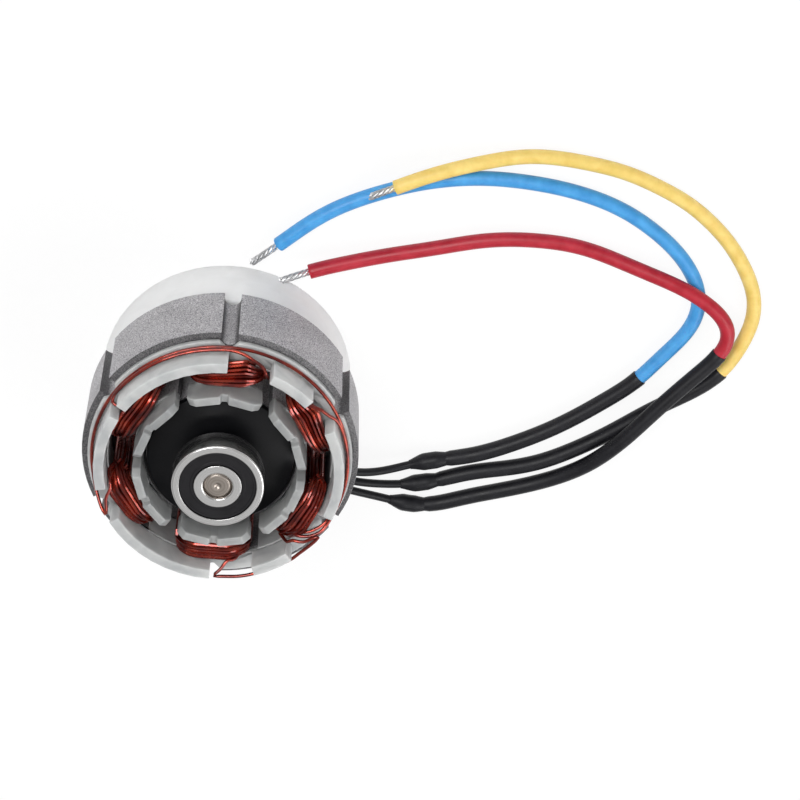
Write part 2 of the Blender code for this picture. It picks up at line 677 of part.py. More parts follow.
def lead(colour, marks, route, materials):
    """One phase lead: thin sleeve, splice, cover sleeve, coloured lead and tinned end, end to end."""
    turn = Matrix.Rotation(LEAD_TURN, 3, "Z")
    points = eased(smooth_route([turn @ Vector(point) * MM for point in route], EASE_SPACING))
    thin_end, cover_end, tip_length = (mark * MM for mark in marks)
    splice_end = thin_end + SPLICE_LENGTH
    tip_start = run_length(points) - tip_length
    black, wire, tin = materials["sleeve"], materials[colour], materials["tin"]
    thin = stretch(points, 0, thin_end, THIN_STEP)
    tube(f"{colour}_exit_sleeve", thin, [THIN_RADIUS] * len(thin), black)
    splice = stretch(points, thin_end + SEAT, splice_end, SPLICE_STEP)
    shares = [min(1, 2.2 * i / (len(splice) - 1)) for i in range(len(splice))]
    swell = [THIN_RADIUS + (SPLICE_RADIUS - THIN_RADIUS) * share for share in shares]
    tube(f"{colour}_splice_sleeve", splice, swell, black)
    cover = stretch(points, splice_end + SEAT, cover_end, CORD_STEP)
    tube(f"{colour}_cover_sleeve", cover, [COVER_RADIUS] * len(cover), black)
    body = stretch(points, cover_end + SEAT, tip_start, CORD_STEP)
    tube(f"{colour}_lead", body, [LEAD_RADIUS] * len(body), wire)
    tip = stretch(points, tip_start + SEAT, run_length(points), THIN_STEP)
    tube(f"{colour}_tinned_end", tip, [TIP_RADIUS] * len(tip), tin)


def crossover(index, stops, material):
    """One wire from coil to coil round the outside of the front wall."""
    radii = {
        INSIDE: WALL_RADIUS - WALL - (WIRE + SEAT) / 2,
        MIDDLE: WALL_RADIUS - WALL / 2,
        THROUGH: WALL_RADIUS - SEAT,
        TURN: WALL_RADIUS + WIRE / 2,
        ALONG: WALL_RADIUS + SEAT + WIRE / 2,
    }
    points = []
    for (degrees, where, level), following in zip(stops, [*stops[1:], None]):
        height = LEDGE + LAY + WIRE / 2 + level * WALL_HEIGHT
        spans = [degrees]
        if following and where == ALONG and following[1] == ALONG:
            parts = max(1, round(abs(following[0] - degrees) / 14))
            spans = [degrees + (following[0] - degrees) * i / parts for i in range(parts)]
        rise = (following[2] - level) * WALL_HEIGHT if following else 0.0
        for i, span in enumerate(spans):
            angle = math.radians(span)
            lift = height + rise * i / len(spans)
            points.append(Vector((radii[where] * math.cos(angle), radii[where] * math.sin(angle), lift)))
    fine = smooth_route(points, 3 * WIRE)
    tube(f"crossover_wire_{index}", fine, [WIRE / 2] * len(fine), material)


def rotor_core(material):
    """The rotor's lamination stack with a slot for each magnet."""
    profile = arc(ROTOR_RADIUS, 0, math.tau, 48)
    core = place("rotor_core", extruded(profile, CORE_BASE, CORE_TOP), material)
    cuts = [extruded(arc(SHAFT_RADIUS + SEAT, 0, math.tau, 24), CORE_BASE - MM, CORE_TOP + MM)]
    for index in range(MAGNET_COUNT):
        cuts.append(magnet_block(index, SEAT, CORE_BASE - MM, CORE_TOP + MM))
    combine(core, "DIFFERENCE", "magnet_slots", cuts)


def magnet_block(index, margin, low, high):
    """A magnet's block, or its slot with a margin."""
    angle = math.tau * (index + 0.5) / MAGNET_COUNT
    half, thick = MAGNET_WIDTH / 2 + margin, MAGNET_THICKNESS / 2 + margin
    return box((MAGNET_RADIUS - thick, -half, low), (MAGNET_RADIUS + thick, half, high), angle)


def rotor_cap(name, face, root, tip, material):
    """A moulded disc that closes the magnet slots, with a boss that reaches to the bearing."""
    bore = SHAFT_RADIUS + SEAT
    edge = ROTOR_RADIUS - 0.2 * MM
    rounding = 0.4 * MM * (1 if face > root else -1)
    profile = [
        (bore, root),
        (edge, root),
        (edge, face - rounding),
        (edge - 0.4 * MM, face),
        (CAP_BOSS_RADIUS + 0.5 * MM, face),
        (CAP_BOSS_RADIUS, face + rounding),
        (CAP_BOSS_RADIUS, tip),
        (bore, tip),
    ]
    place(name, turned(profile, 32), material)


def shaft(material):
    """The shaft: a thick middle, two bearing seats, a flat at the rear end and a centre in the front."""
    journal = BEARING_BORE - FIT
    front = FRONT_BEARING_TOP - SEAT
    profile = [
        (0, SHAFT_REAR),
        (journal - SHAFT_CHAMFER, SHAFT_REAR),
        (journal, SHAFT_REAR + SHAFT_CHAMFER),
        (journal, REAR_BEARING_TOP + SEAT),
        (SHAFT_RADIUS, REAR_BEARING_TOP + 2 * SEAT),
        (SHAFT_RADIUS, FRONT_BEARING_BASE - 2 * SEAT),
        (journal, FRONT_BEARING_BASE - SEAT),
        (journal, front - SHAFT_CHAMFER),
        (journal - SHAFT_CHAMFER, front),
        (CENTRE_DRILL, front),
        (0, front - CENTRE_DRILL),
    ]
    piece = place("shaft", turned_solid(profile), material)
    low = (journal - FLAT_DEPTH, -BEARING_RADIUS, SHAFT_REAR - MM)
    flat = box(low, (BEARING_RADIUS, BEARING_RADIUS, SHAFT_REAR + FLAT_LENGTH))
    combine(piece, "DIFFERENCE", "shaft_flat", [flat])


def bearing(name, base, materials):
    """A sealed ball bearing: two rings, two seals and the caged balls."""
    top, bore, outer = base + BEARING_WIDTH, BEARING_BORE, BEARING_RADIUS
    edge, step = BEARING_CHAMFER, 0.8 * MM
    ring = [
        (OUTER_RACE + edge, base),
        (outer - edge, base),
        (outer, base + edge),
        (outer, top - edge),
        (outer - edge, top),
        (OUTER_RACE + edge, top),
        (OUTER_RACE, top - step),
        (OUTER_RACE, base + step),
    ]
    place(f"{name}_outer_ring", turned(ring), materials["bright steel"])
    ring = [
        (bore, base + edge),
        (bore + edge, base),
        (INNER_RACE, base),
        (INNER_RACE, top),
        (bore + edge, top),
        (bore, top - edge),
    ]
    place(f"{name}_inner_ring", turned(ring), materials["bright steel"])
    for side, face in (("outer", top - SEAL_RECESS - SEAL), ("inner", base + SEAL_RECESS)):
        if name == "rear_bearing":
            side = "inner" if side == "outer" else "outer"
        lip, rim = INNER_RACE + SEAL_RUN, OUTER_RACE - SEAL_RUN
        seal = [(lip, face), (rim, face), (rim, face + SEAL), (lip, face + SEAL)]
        place(f"{name}_{side}_seal", turned(seal), materials["seal"])
    ball_cage(f"{name}_ball_cage", base + BEARING_WIDTH / 2, materials["bright steel"])


def ball_cage(name, level, material):
    """The balls on their pitch circle, held by the cage that spaces them."""
    pitch = (INNER_RACE + OUTER_RACE) / 2
    radius = (OUTER_RACE - INNER_RACE) / 2 - FIT
    band = 0.45 * MM
    profile = [
        (pitch - band, level - band),
        (pitch + band, level - band),
        (pitch + band, level + band),
        (pitch - band, level + band),
    ]
    cage = place(name, turned(profile, 21), material)
    balls = []
    for index in range(BALL_COUNT):
        angle = math.tau * index / BALL_COUNT
        ball = bmesh.new()
        bmesh.ops.create_uvsphere(ball, u_segments=9, v_segments=6, radius=radius)
        bmesh.ops.translate(ball, verts=ball.verts, vec=(*at(angle, pitch, 0), level))
        mesh = bpy.data.meshes.new("ball")
        ball.to_mesh(mesh)
        ball.free()
        balls.append(mesh)
    combine(cage, "UNION", f"{name}_balls", balls)


def make_materials():
    """The finishes, with colours read from the photograph."""
    return {
        "laminations": finish("lamination steel", (0.46, 0.45, 0.43), 0.5, 0.8),
        "rotor steel": finish("rotor steel", (0.35, 0.35, 0.36), 0.45, 0.8),
        "moulding": finish("white moulding", (0.74, 0.75, 0.74), 0.5),
        "copper": finish("enamelled copper", (0.62, 0.16, 0.06), 0.3, 0.2),
        "black": finish("black moulding", (0.02, 0.02, 0.022), 0.5),
        "shaft steel": finish("shaft steel", (0.6, 0.6, 0.6), 0.3, 1.0),
        "bright steel": finish("bearing steel", (0.7, 0.7, 0.7), 0.2, 1.0),
        "seal": finish("seal rubber", (0.02, 0.02, 0.02), 0.6),
        "magnet": finish("magnet", (0.3, 0.3, 0.31), 0.35, 0.9),
        "sleeve": finish("black sleeve", (0.018, 0.018, 0.022), 0.6),
        "blue": finish("blue silicone", (0.09, 0.32, 0.7), 0.45),
        "red": finish("red silicone", (0.55, 0.07, 0.08), 0.45),
        "yellow": finish("yellow silicone", (0.75, 0.5, 0.12), 0.45),
        "tin": finish("tinned copper", (0.62, 0.62, 0.6), 0.35, 1.0),
    }


def build():
    """The whole motor."""
    for old in list(bpy.data.objects):
        bpy.data.objects.remove(old)
    materials = make_materials()
    stator_core(materials["laminations"])
    front_insulator(materials["moulding"])
    rear_insulator(materials["moulding"])
    for index, angle in enumerate(TOOTH_ANGLES):
        coil(index + 1, angle, materials["copper"])
    for index, stops in enumerate(CROSSOVERS):
        crossover(index + 1, stops, materials["copper"])
    rotor_core(materials["rotor steel"])
    for index in range(MAGNET_COUNT):
        block = magnet_block(index, 0.0, CORE_BASE, CORE_TOP)
        place(f"rotor_magnet_{index + 1}", block, materials["magnet"])
    front_tip = FRONT_BEARING_BASE - SEAT
    rotor_cap("rotor_front_cap", CAP_FACE, CORE_TOP + SEAT, front_tip, materials["black"])
    rotor_cap("rotor_rear_cap", CAP_BACK, CORE_BASE - SEAT, REAR_BEARING_TOP + SEAT, materials["black"])
    shaft(materials["shaft steel"])
    bearing("front_bearing", FRONT_BEARING_BASE, materials)
    bearing("rear_bearing", REAR_BEARING_BASE, materials)
    for colour, (marks, route) in LEADS.items():
        lead(colour, marks, route, materials)


build()
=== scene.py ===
"""Looks of a cordless mower's brushless motor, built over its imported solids.

The motor stands on the rim of its rear insulator with the front bearing up, and its three
phase leads lie on the floor beside it. Everything is in metres, in the frame of the solids.
"""

import logging
import math
import random
from collections.abc import Callable, Iterable, Sequence
from dataclasses import dataclass, field
from enum import Enum

import bmesh
import bpy
from mathutils import Matrix, Vector
from mathutils.bvhtree import BVHTree

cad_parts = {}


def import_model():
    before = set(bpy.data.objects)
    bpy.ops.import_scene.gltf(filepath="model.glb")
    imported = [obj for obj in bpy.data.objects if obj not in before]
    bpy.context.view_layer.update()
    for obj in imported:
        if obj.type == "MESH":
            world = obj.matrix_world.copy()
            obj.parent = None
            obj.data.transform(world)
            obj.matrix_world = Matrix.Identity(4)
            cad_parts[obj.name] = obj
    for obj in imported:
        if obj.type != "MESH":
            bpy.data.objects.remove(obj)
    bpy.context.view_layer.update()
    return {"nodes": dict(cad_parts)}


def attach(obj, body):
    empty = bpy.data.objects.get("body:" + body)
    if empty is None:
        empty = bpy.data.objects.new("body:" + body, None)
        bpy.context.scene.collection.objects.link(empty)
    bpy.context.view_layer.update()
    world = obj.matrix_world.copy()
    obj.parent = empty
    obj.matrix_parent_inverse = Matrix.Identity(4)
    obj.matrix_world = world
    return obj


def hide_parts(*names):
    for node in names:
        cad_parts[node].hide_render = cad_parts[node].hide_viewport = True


LOG = logging.getLogger("mower_motor")
MM = 0.001
# A noise's useful spread: values past these two are rare.
LOW, HIGH = 0.3, 0.7
SPAN = ("From Min", "From Max", "To Min", "To Max")
Rgba = tuple[float, float, float, float]
Point = tuple[float, float, float]
Stops = Sequence[tuple[float, str]]
Piece = bpy.types.Object
Tree = bpy.types.NodeTree
Node = bpy.types.Node
Socket = bpy.types.NodeSocket


class Part(Enum):
    """The moving bodies that pieces ride on."""

    STATOR = "stator"
    ROTOR = "rotor"
    FRONT_RING = "front_bearing_ring"
    REAR_RING = "rear_bearing_ring"


class Slot(Enum):
    """The record's material slots."""

    LAMINATIONS = "laminations"
    MOULDING = "moulding"
    WIRE = "enamelled_wire"
    BLACK_MOULDING = "black_moulding"
    SHAFT = "shaft_steel"
    BEARING = "bearing_steel"
    SEAL = "seal"
    SLEEVE = "black_sleeve"
    BLUE = "blue_insulation"
    RED = "red_insulation"
    YELLOW = "yellow_insulation"
    TINNED = "tinned_wire"


def linear(colour: str) -> Rgba:
    """Turns an sRGB colour to the linear one that a shader takes.

    Args:
        colour: The colour as six hex digits after a #.

    Returns:
        Linear red, green and blue, and an alpha of 1.
    """
    values = [int(colour[i : i + 2], 16) / 255 for i in (1, 3, 5)]
    red, green, blue = (v / 12.92 if v <= 0.04045 else ((v + 0.055) / 1.055) ** 2.4 for v in values)
    return (red, green, blue, 1.0)


def add(
    tree: Tree,
    kind: str,
    inputs: dict[str | int, object] | None = None,
    operation: str | None = None,
    stops: Stops = (),
) -> Node:
    """Adds one shader node with its settings and links.

    Args:
        tree: The material's node tree.
        kind: The node's type, without the prefix that all of them share.
        inputs: A value, or the output socket that feeds it, for each input by name or place.
        operation: What a mathematical node does.
        stops: Places and colours of a colour ramp.

    Returns:
        The new node.
    """
    made = tree.nodes.new(f"ShaderNode{kind}")
    if operation:
        made.operation = operation
    for key, value in (inputs or {}).items():
        if isinstance(value, Socket):
            tree.links.new(value, made.inputs[key])
        else:
            made.inputs[key].default_value = value
    for index, (place, colour) in enumerate(stops):
        elements = made.color_ramp.elements
        element = elements[index] if index < 2 else elements.new(place)
        element.position = place
        element.color = linear(colour)
    return made


def from_axis(tree: Tree, coords: Node) -> tuple[Node, Node]:
    """Splits a point's place into its coordinates and its way out from the motor's axis.

    Args:
        tree: The material's node tree.
        coords: Its texture coordinates.

    Returns:
        The node of the three coordinates, and the node of the level way out from the axis.
    """
    parts = add(tree, "SeparateXYZ", {"Vector": coords.outputs["Object"]})
    return parts, add(tree, "CombineXYZ", {"X": parts.outputs["X"], "Y": parts.outputs["Y"]})


@dataclass(frozen=True)
class Noise:
    """A cloudy pattern: the size of its clouds, and how much finer detail lies over them."""

    size: float
    detail: float = 2.0
    roughness: float = 0.5
    distortion: float = 0.0


@dataclass(frozen=True)
class Finish:
    """A named surface finish, whose colour, roughness and relief each follow a noise.

    The gloss is the roughness where its noise is low and where it is high, and the relief is a
    strength and a depth. A noise that isn't given is the colour's own.
    """

    name: str
    constants: dict[str, object]
    tint_noise: Noise
    stops: Stops
    gloss: tuple[float, float]
    relief: tuple[float, float]
    gloss_noise: Noise | None = None
    relief_noise: Noise | None = None
    dimensions: str = "3D"

    def material(self) -> bpy.types.Material:
        """The finish's material, made the first time that it is asked for."""
        made = bpy.data.materials.get(self.name)
        if made is None:
            made = bpy.data.materials.new(self.name)
            made.use_nodes = True
            made.node_tree.nodes.clear()
            self.dress(made.node_tree)
        return made

    def dress(self, tree: Tree) -> tuple[Node, Node]:
        """Builds the material's nodes.

        Args:
            tree: The material's empty node tree.

        Returns:
            The shader and the output.
        """
        shader = add(tree, "BsdfPrincipled", self.constants)
        output = add(tree, "OutputMaterial", {"Surface": shader.outputs["BSDF"]})
        coords = add(tree, "TexCoord")
        place = self.place(tree, coords)
        values: list[Socket] = []
        for noise in (self.tint_noise, self.gloss_noise, self.relief_noise):
            if noise is None:
                values.append(values[0])
                continue
            inputs = {"Vector": place, "Scale": 1 / noise.size, "Detail": noise.detail}
            inputs |= {"Roughness": noise.roughness, "Distortion": noise.distortion}
            made = add(tree, "TexNoise", inputs)
            made.noise_dimensions = self.dimensions
            values.append(made.outputs["Fac"])
        colour = add(tree, "ValToRGB", {"Fac": values[0]}, stops=self.stops)
        rough = add(tree, "MapRange", {"Value": values[1], **dict(zip(SPAN, (LOW, HIGH, *self.gloss)))})
        strength, depth = self.relief
        bump = add(tree, "Bump", {"Height": values[2], "Strength": strength, "Distance": depth})
        final = self.refined(tree, coords, colour.outputs["Color"], bump)
        tree.links.new(final, shader.inputs["Base Color"])
        tree.links.new(rough.outputs[0], shader.inputs["Roughness"])
        tree.links.new(bump.outputs[0], shader.inputs["Normal"])
        return shader, output

    def place(self, tree: Tree, coords: Node) -> Socket:
        """Where on the piece a noise is read."""
        return coords.outputs["Object"]

    def refined(self, tree: Tree, coords: Node, colour: Socket, bump: Node) -> Socket:
        """Adds what a finish has beside its noises. A plain finish has nothing more.

        Args:
            tree: The material's node tree.
            coords: Its texture coordinates.
            colour: The colour that the noise gives.
            bump: The relief's node.

        Returns:
            The colour that the shader takes.
        """
        return colour


def toned(tree: Tree, colour: Socket, cause: Socket, span: Sequence[float]) -> Socket:
    """Lightens or darkens a colour by a factor that follows some cause.

    Args:
        tree: The material's node tree.
        colour: The colour to change.
        cause: What the factor follows.
        span: The cause's low and high values, and the factor at each.

    Returns:
        The changed colour.
    """
    factor = add(tree, "MapRange", {"Value": cause, **dict(zip(SPAN, span))})
    return add(tree, "VectorMath", {0: colour, "Scale": factor.outputs[0]}, "SCALE").outputs[0]


@dataclass(frozen=True)
class BlastedLaminations(Finish):
    """Stamped electrical steel, stacked and grit-blasted: a dull, even grey with a sandy sparkle."""

    sheet: float = 0.5 * MM
    patch: float = 8 * MM
    # Colour factor on faces that don't look outwards: their unblasted steel together with painted shade.
    unblasted_and_shade_level: float = 0.34

    def refined(self, tree: Tree, coords: Node, colour: Socket, bump: Node) -> Socket:
        """Soft patches from handling, end faces and groove sides darkened (partly their own unblasted
        colour, partly painted shade), and the sheets' edges.
        """
        noise = {"Vector": coords.outputs["Object"], "Scale": 1 / self.patch, "Detail": 2.0}
        patches = add(tree, "TexNoise", noise).outputs["Fac"]
        handled = toned(tree, colour, patches, (LOW, HIGH, 0.86, 1.06))
        # The blast reached the faces that look outwards. End faces and groove sides are darkened: partly the
        # steel's own unblasted colour, partly painted shade in the grooves and on the end faces.
        parts, out = from_axis(tree, coords)
        outwards = add(tree, "VectorMath", {0: out.outputs[0]}, "NORMALIZE").outputs[0]
        facing = add(tree, "VectorMath", {0: outwards, 1: coords.outputs["Normal"]}, "DOT_PRODUCT")
        # A fine groove shows where two sheets meet.
        step = add(tree, "Math", {0: parts.outputs["Z"], 1: math.tau / self.sheet}, "MULTIPLY")
        ridge = add(tree, "Math", {0: step.outputs[0]}, "COSINE")
        sheets = add(tree, "Bump", {"Height": ridge.outputs[0], "Strength": 0.12, "Distance": 0.03 * MM})
        tree.links.new(sheets.outputs[0], bump.inputs["Normal"])
        # Faces that don't look outwards are darkened: partly their own colour, partly painted shade.
        return toned(tree, handled, facing.outputs["Value"], (0.45, 0.85, self.unblasted_and_shade_level, 1.0))


@dataclass(frozen=True)
class NaturalNylon(Finish):
    """Undyed moulded nylon: milky, slightly translucent, with a soft satin gloss."""

    # Painted shade on the tabs near the rotor: the colour's factor there, and the radii over which it fades
    # in.
    tab_shade_tone: float = 1.0
    tab_shade_near: float = 18.2 * MM
    tab_shade_far: float = 18.6 * MM

    def refined(self, tree: Tree, coords: Node, colour: Socket, bump: Node) -> Socket:
        """The tabs near the rotor get painted shade: their colour is darkened there."""
        radius = add(tree, "VectorMath", {0: from_axis(tree, coords)[1].outputs[0]}, "LENGTH")
        # Painted shade: the colour darkens inside these radii, on the tabs.
        span = (self.tab_shade_near, self.tab_shade_far, self.tab_shade_tone, 1.0)
        return toned(tree, colour, radius.outputs["Value"], span)


@dataclass(frozen=True)
class TurnedSteel(Finish):
    """Ground or turned steel: bright metal with fine rings that stretch its highlights."""

    dimensions: str = "2D"

    def place(self, tree: Tree, coords: Node) -> Socket:
        """Only radius and height count, as in the marks of a lathe or a grinder."""
        parts, out = from_axis(tree, coords)
        radius = add(tree, "VectorMath", {0: out.outputs[0]}, "LENGTH")
        inputs = {"X": radius.outputs["Value"], "Y": parts.outputs["Z"]}
        return add(tree, "CombineXYZ", inputs).outputs[0]


@dataclass(frozen=True)
class WhitePaper(Finish):
    """White paper for the floor: the camera sees it white, and it keeps a soft shadow."""

    own_share: float = 0.88

    def dress(self, tree: Tree) -> tuple[Node, Node]:
        """Adds light of the paper's own, for the camera, for reflections and through clear pieces."""
        shader, output = super().dress(tree)
        path = add(tree, "LightPath")
        seen = path.outputs["Is Camera Ray"]
        for other in ("Is Glossy Ray", "Is Transmission Ray"):
            seen = add(tree, "Math", {0: seen, 1: path.outputs[other]}, "MAXIMUM").outputs[0]
        share = add(tree, "Math", {0: seen, 1: self.own_share}, "MULTIPLY").outputs[0]
        glow = add(tree, "Emission", {"Color": (1, 1, 1, 1), "Strength": 1.0}).outputs[0]
        mixed = add(tree, "MixShader", {0: share, 1: shader.outputs["BSDF"], 2: glow})
        tree.links.new(mixed.outputs[0], output.inputs["Surface"])
        return shader, output


def nylon(
    name: str, shade: str, light: str, milky: float, depth: float, clear: float, tab_shade_tone: float
) -> NaturalNylon:
    """Undyed nylon with cloudy flow marks and the mould's fine texture.

    Args:
        name: The finish's name.
        shade: Its darker colour.
        light: Its lighter colour.
        milky: How much of the light sinks in.
        depth: How deep it sinks.
        clear: How much of it passes through.
        tab_shade_tone: The painted shade on the tabs near the rotor, as a factor on their colour.

    Returns:
        The finish.
    """
    constants = {"Subsurface Weight": milky, "Subsurface Radius": (1.0, 1.0, 1.0), "Subsurface Scale": depth}
    constants |= {"Transmission Weight": clear, "IOR": 1.53}
    flow, texture, stops = Noise(5 * MM, 3.0, 0.5, 0.6), Noise(0.35 * MM), ((0.3, shade), (0.68, light))
    rest = {"relief_noise": texture, "tab_shade_tone": tab_shade_tone}
    return NaturalNylon(name, constants, flow, stops, (0.32, 0.46), (0.25, 0.03 * MM), **rest)


def steel(
    name: str, dark: str, light: str, gloss: tuple[float, float], pitch: float, strength: float
) -> TurnedSteel:
    """Steel with turning or grinding marks.

    Args:
        name: The finish's name.
        dark: The colour of its darker marks.
        light: The colour of its lighter ones.
        gloss: The roughness of each.
        pitch: The distance between marks.
        strength: How strong their relief is.

    Returns:
        The finish.
    """
    stops = ((0.3, dark), (0.7, light))
    return TurnedSteel(name, {"Metallic": 1.0}, Noise(pitch, 3.0, 0.65), stops, gloss, (strength, 0.02 * MM))


def rubber(
    name: str, shade: str, light: str, gloss: float, grain: float, strength: float, soak: float, sheen: float
) -> Finish:
    """Rubber or silicone skin: satin, a touch of light sinking in, faint dust.

    Args:
        name: The finish's name.
        shade: Its darker colour.
        light: Its lighter colour.
        gloss: Its middle roughness.
        grain: The size of the extruder's or the mould's grain.
        strength: How strong the grain's relief is.
        soak: How much of the light sinks in.
        sheen: How strongly it mirrors.

    Returns:
        The finish.
    """
    constants: dict[str, object] = {"IOR": 1.43, "Specular IOR Level": sheen}
    if soak:
        constants |= {"Subsurface Weight": soak, "Subsurface Scale": 0.6 * MM}
    dust, stops, span = Noise(3 * MM, 4.0, 0.6), ((0.32, shade), (0.68, light)), (gloss - 0.06, gloss + 0.1)
    return Finish(name, constants, dust, stops, span, (strength, 0.03 * MM), relief_noise=Noise(grain, 3.0))


LAMINATION_FINISH = BlastedLaminations(
    "blasted_lamination_steel", {"Metallic": 0.55}, Noise(0.28 * MM, 4.0, 0.7),
    ((0.34, "#6A686C"), (0.68, "#E2E0E2"), (0.50, "#ABA9AC")), (0.62, 0.44), (0.9, 0.16 * MM),
)
# The front moulding's tabs near the rotor get painted shade, 30% darker than the rest.
FRONT_NYLON = nylon("natural_moulded_nylon", "#A3A5A6", "#BBBCBB", 0.8, 3.5 * MM, 0.0, 0.7)
REAR_NYLON = nylon("pale_moulded_nylon", "#F2F3F3", "#FCFDFD", 0.7, 2.5 * MM, 0.15, 1.0)
# Drawn copper under red-brown enamel, whose thickness drifts over a few millimetres of wire.
COPPER = Finish(
    "enamelled_copper_wire",
    {"Metallic": 0.9, "Coat Weight": 0.7, "Coat Roughness": 0.08, "Coat IOR": 1.55}, Noise(3.2 * MM),
    ((0.28, "#520F0A"), (0.74, "#AE4027"), (0.5, "#842417")), (0.34, 0.22), (0.06, 0.02 * MM),
    relief_noise=Noise(0.2 * MM, 1.0),
)
# Black glass-filled nylon, with fibre grain and patches where handling has polished it.
CAP_BLACK = Finish(
    "black_moulded_nylon", {"IOR": 1.53, "Specular IOR Level": 0.18}, Noise(0.4 * MM, 4.0, 0.6),
    ((0.35, "#060608"), (0.75, "#0D0D10")), (0.31, 0.46), (0.2, 0.02 * MM), gloss_noise=Noise(6 * MM),
)
# Solder over copper strands, thick in places and thin in others.
TINNED = Finish(
    "tinned_copper_strands", {"Metallic": 1.0}, Noise(0.5 * MM, 3.0),
    ((0.3, "#A4A4A5"), (0.7, "#E2E3E4")), (0.48, 0.3), (0.4, 0.05 * MM),
)
PAPER = WhitePaper(
    "white_sweep_paper", {"Specular IOR Level": 0.1}, Noise(3 * MM, 3.0),
    ((0.3, "#F4F4F4"), (0.7, "#F8F8F8")), (0.9, 0.9), (0.0, 0.01 * MM),
)
RACE_STEEL = steel("ground_bearing_steel", "#C4C3C2", "#EFEEED", (0.16, 0.30), 0.12 * MM, 0.12)
SHAFT_STEEL = steel("ground_shaft_steel", "#857C75", "#BAB1A8", (0.3, 0.44), 0.16 * MM, 0.2)
BALL_STEEL = steel("polished_ball_steel", "#B4B4B6", "#DADADC", (0.05, 0.12), 0.3 * MM, 0.02)
MAGNET_PLATE = steel("nickel_plated_magnet", "#86868A", "#B2B2B6", (0.25, 0.38), 0.3 * MM, 0.1)
SEAL_BLACK = rubber("black_seal_rubber", "#0F0E11", "#18171A", 0.5, 0.2 * MM, 0.2, 0.0, 0.35)
SLEEVE_BLACK = rubber("black_heat_shrink", "#0E0E12", "#18181D", 0.44, 0.5 * MM, 0.3, 0.0, 0.35)
SILICONES = {
    colour: rubber(f"{colour}_silicone", shade, light, 0.4, 0.2 * MM, 0.12, 0.15, 0.5)
    for colour, shade, light in (
        ("blue", "#3A8CCB", "#4BA0DC"), ("red", "#A21829", "#B62637"), ("yellow", "#DDBE62", "#EBCF7A"),
    )
}


# Modelling helpers.


# A rounding never leaves the solid by more than this share of its width.
STRAY = 0.6


def deselect() -> None:
    """Leaves nothing selected, so that an operator acts only on what is chosen next."""
    if bpy.context.mode != "OBJECT":
        bpy.ops.object.mode_set(mode="OBJECT")
    bpy.ops.object.select_all(action="DESELECT")


def choose(piece: Piece) -> None:
    """Makes a piece the only one selected, and active."""
    deselect()
    piece.select_set(True)
    bpy.context.view_layer.objects.active = piece


def placed(name: str, data: bpy.types.ID) -> Piece:
    """Puts new data into the scene as an object, and chooses it."""
    piece = bpy.data.objects.new(name, data)
    bpy.context.scene.collection.objects.link(piece)
    choose(piece)
    return piece


def edit_all(piece: Piece) -> None:
    """Opens a piece for editing with all of its mesh selected."""
    choose(piece)
    bpy.ops.object.mode_set(mode="EDIT")
    bpy.ops.mesh.select_all(action="SELECT")


def smooth(piece: Piece, degrees: float = 32.0) -> None:
    """Shades a piece smooth except over edges sharper than an angle."""
    choose(piece)
    bpy.ops.object.shade_smooth_by_angle(angle=math.radians(degrees))


def paint(piece: Piece, finish: Finish) -> None:
    """Gives a piece one finish all over."""
    piece.data.materials.clear()
    piece.data.materials.append(finish.material())


def fit(piece: Piece, part: Part, slot: Slot, finish: Finish, *replaces: str) -> Piece:
    """Paints a finished piece, seats it on its body and hides the solids that it stands for.

    Args:
        piece: The finished piece.
        part: The body that it moves with.
        slot: The record's material slot that it belongs to; not used.
        finish: Its surface finish.
        replaces: The solids that it stands for.

    Returns:
        The same piece.
    """
    paint(piece, finish)
    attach(piece, part.value)
    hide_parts(*replaces)
    return piece


def sewn(piece: Piece, degrees: float = 32.0) -> Piece:
    """Joins a piece's doubled corners, turns its faces outwards and shades it smooth.

    Args:
        piece: The piece to finish.
        degrees: Edges that turn by more than this stay sharp.

    Returns:
        The same piece.
    """
    edit_all(piece)
    bpy.ops.mesh.remove_doubles(threshold=1e-6)
    bpy.ops.mesh.normals_make_consistent(inside=False)
    bpy.ops.object.mode_set(mode="OBJECT")
    smooth(piece, degrees)
    return piece


def turned(name: str, profile: Sequence[tuple[float, float]], steps: int = 128) -> Piece:
    """Spins a closed profile round the motor's axis, as a lathe would leave the piece.

    Args:
        name: The piece's name.
        profile: Radius and height of each corner, in order round the section.
        steps: Facets in the whole turn.

    Returns:
        The turned piece, with outward faces.
    """
    deselect()
    bpy.ops.mesh.primitive_plane_add(size=1.0, location=(0, 0, 0))
    piece = bpy.context.object
    piece.name = name
    bpy.ops.object.mode_set(mode="EDIT")
    shape = bmesh.from_edit_mesh(piece.data)
    bmesh.ops.delete(shape, geom=list(shape.verts), context="VERTS")
    corners = [shape.verts.new((radius, 0.0, height)) for radius, height in profile]
    for first, second in zip(corners, corners[1:] + corners[:1]):
        shape.edges.new((first, second))
    bmesh.update_edit_mesh(piece.data)
    bpy.ops.mesh.select_all(action="SELECT")
    bpy.ops.mesh.spin(steps=steps, angle=math.tau, center=(0, 0, 0), axis=(0, 0, 1))
    return sewn(piece)


